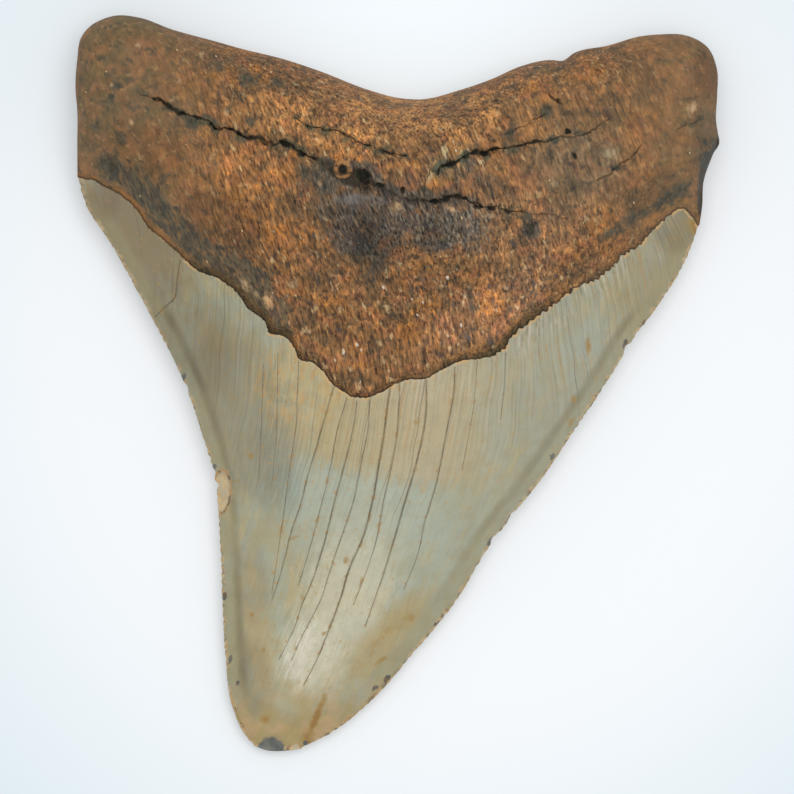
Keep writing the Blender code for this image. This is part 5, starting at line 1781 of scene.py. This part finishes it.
def floor_material(colour):
    """Pale floor with painted shade far from the tooth, brighter and cooler painted light above the
    root, and a painted glow.
    """
    material = bpy.data.materials.new("pale floor")
    material.use_nodes = True
    tree = material.node_tree
    shader = tree.nodes["Principled BSDF"]
    place = tree.nodes.new("ShaderNodeTexCoord").outputs["Object"]
    # Painted shade: the floor darkens away from the tooth
    away = add(tree, "ShaderNodeVectorMath", {0: place, 1: FLOOR_MIDDLE}, operation="DISTANCE")
    painted_shade = [share * part for share, part in zip(FLOOR_PAINTED_SHADE, colour)]
    fading = spread(tree, away.outputs["Value"], FLOOR_FADES_FROM, FLOOR_FADES_TO)
    shade = blend(tree, fading, solid(colour), solid(painted_shade))
    # Painted light: the floor is brighter and cooler above the root
    near = add(tree, "ShaderNodeVectorMath", {0: place, 1: ABOVE_ROOT}, operation="DISTANCE")
    painted_light = blend(tree, 1.0, shade, solid(FLOOR_PAINTED_LIGHT), "MULTIPLY")
    shade = blend(tree, spread(tree, near.outputs["Value"], 0.0, PAINTED_LIGHT_REACH), painted_light, shade)
    dimmed = blend(tree, 1.0, shade, solid(FLOOR_LIT_SHARE), "MULTIPLY")
    tree.links.new(dimmed, shader.inputs["Base Color"])
    # Painted light: the floor glows with part of its own colour as well as being lit
    tree.links.new(shade, shader.inputs["Emission Color"])
    shader.inputs["Emission Strength"].default_value = FLOOR_GLOW
    shader.inputs["Roughness"].default_value = 0.8
    return material


def aimed_light(name, place, size, power, colour):
    """A round area light that points at the middle of the tooth's place."""
    data = bpy.data.lights.new(name, "AREA")
    data.shape = "DISK"
    data.size = size
    data.energy = power
    data.color = colour
    lamp = bpy.data.objects.new(name, data)
    lamp.location = place
    lamp.rotation_euler = (-Vector(place)).to_track_quat("-Z", "Y").to_euler()
    bpy.context.scene.collection.objects.link(lamp)


class FOSSIL_OT_stage(bpy.types.Operator):
    """Lay the pale floor and set up the light and the camera"""

    bl_idname = "fossil.stage"
    bl_label = "Set the stage"

    def execute(self, context):
        stage = context.scene.tooth_stage
        half = FLOOR_HALF_SIZE
        mesh = bpy.data.meshes.new("floor")
        corners = [(-half, -half, 0.0), (half, -half, 0.0), (half, half, 0.0), (-half, half, 0.0)]
        mesh.from_pydata(corners, [], [(0, 1, 2, 3)])
        mesh.materials.append(floor_material(stage.floor_colour))
        floor = bpy.data.objects.new("floor", mesh)
        floor.location.z = -FLOOR_DROP
        context.scene.collection.objects.link(floor)
        floor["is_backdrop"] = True

        world = bpy.data.worlds.new("pale surround")
        world.use_nodes = True
        backdrop = world.node_tree.nodes["Background"]
        backdrop.inputs["Color"].default_value = solid(SURROUND_COLOUR)
        backdrop.inputs["Strength"].default_value = stage.sky
        context.scene.world = world
        aimed_light("key", KEY_PLACE, KEY_SIZE, stage.key_power, KEY_COLOUR)

        data = bpy.data.cameras.new("camera")
        data.sensor_width = 36.0
        data.lens = data.sensor_width * stage.camera_height / stage.view_width
        data.clip_end = 100.0
        camera = bpy.data.objects.new("camera", data)
        low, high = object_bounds()
        camera.location.x = (low.x + high.x) / 2.0 - CAMERA_SHIFT_X
        camera.location.y = (low.y + high.y) / 2.0 - CAMERA_SHIFT_Y
        camera.location.z = EDGE_PLANE + stage.camera_height
        context.scene.collection.objects.link(camera)
        context.scene.camera = camera
        context.scene.view_settings.view_transform = "Standard"
        return {"FINISHED"}


class FOSSIL_PT_tooth(bpy.types.Panel):
    """Lists the steps and the sizes and colours that can be changed"""

    bl_label = "Fossil shark tooth"
    bl_idname = "FOSSIL_PT_tooth"
    bl_space_type = "VIEW_3D"
    bl_region_type = "UI"
    bl_category = "Fossil"

    def draw(self, context):
        for operator in OPERATORS:
            self.layout.operator(operator.bl_idname)
        for name in SETTINGS:
            box = self.layout.box()
            settings = getattr(context.scene, name)
            for prop in settings.bl_rna.properties:
                if prop.identifier not in ("rna_type", "name"):
                    box.prop(settings, prop.identifier)


SETTINGS = {
    "tooth_form": ToothForm,
    "tooth_surface": ToothSurface,
    "tooth_colours": ToothColours,
    "tooth_stage": StageSettings,
}
OPERATORS = (FOSSIL_OT_tooth, FOSSIL_OT_grains, FOSSIL_OT_stage)


def register():
    for name, group in SETTINGS.items():
        bpy.utils.register_class(group)
        setattr(bpy.types.Scene, name, PointerProperty(type=group))
    for operator in OPERATORS:
        bpy.utils.register_class(operator)
    bpy.utils.register_class(FOSSIL_PT_tooth)


def unregister():
    bpy.utils.unregister_class(FOSSIL_PT_tooth)
    for operator in reversed(OPERATORS):
        bpy.utils.unregister_class(operator)
    for name, group in reversed(SETTINGS.items()):
        delattr(bpy.types.Scene, name)
        bpy.utils.unregister_class(group)


def main():
    """Builds everything in order."""
    register()
    bpy.ops.fossil.tooth()
    bpy.ops.fossil.grains()
    bpy.ops.fossil.stage()


if __name__ == "__main__":
    main()
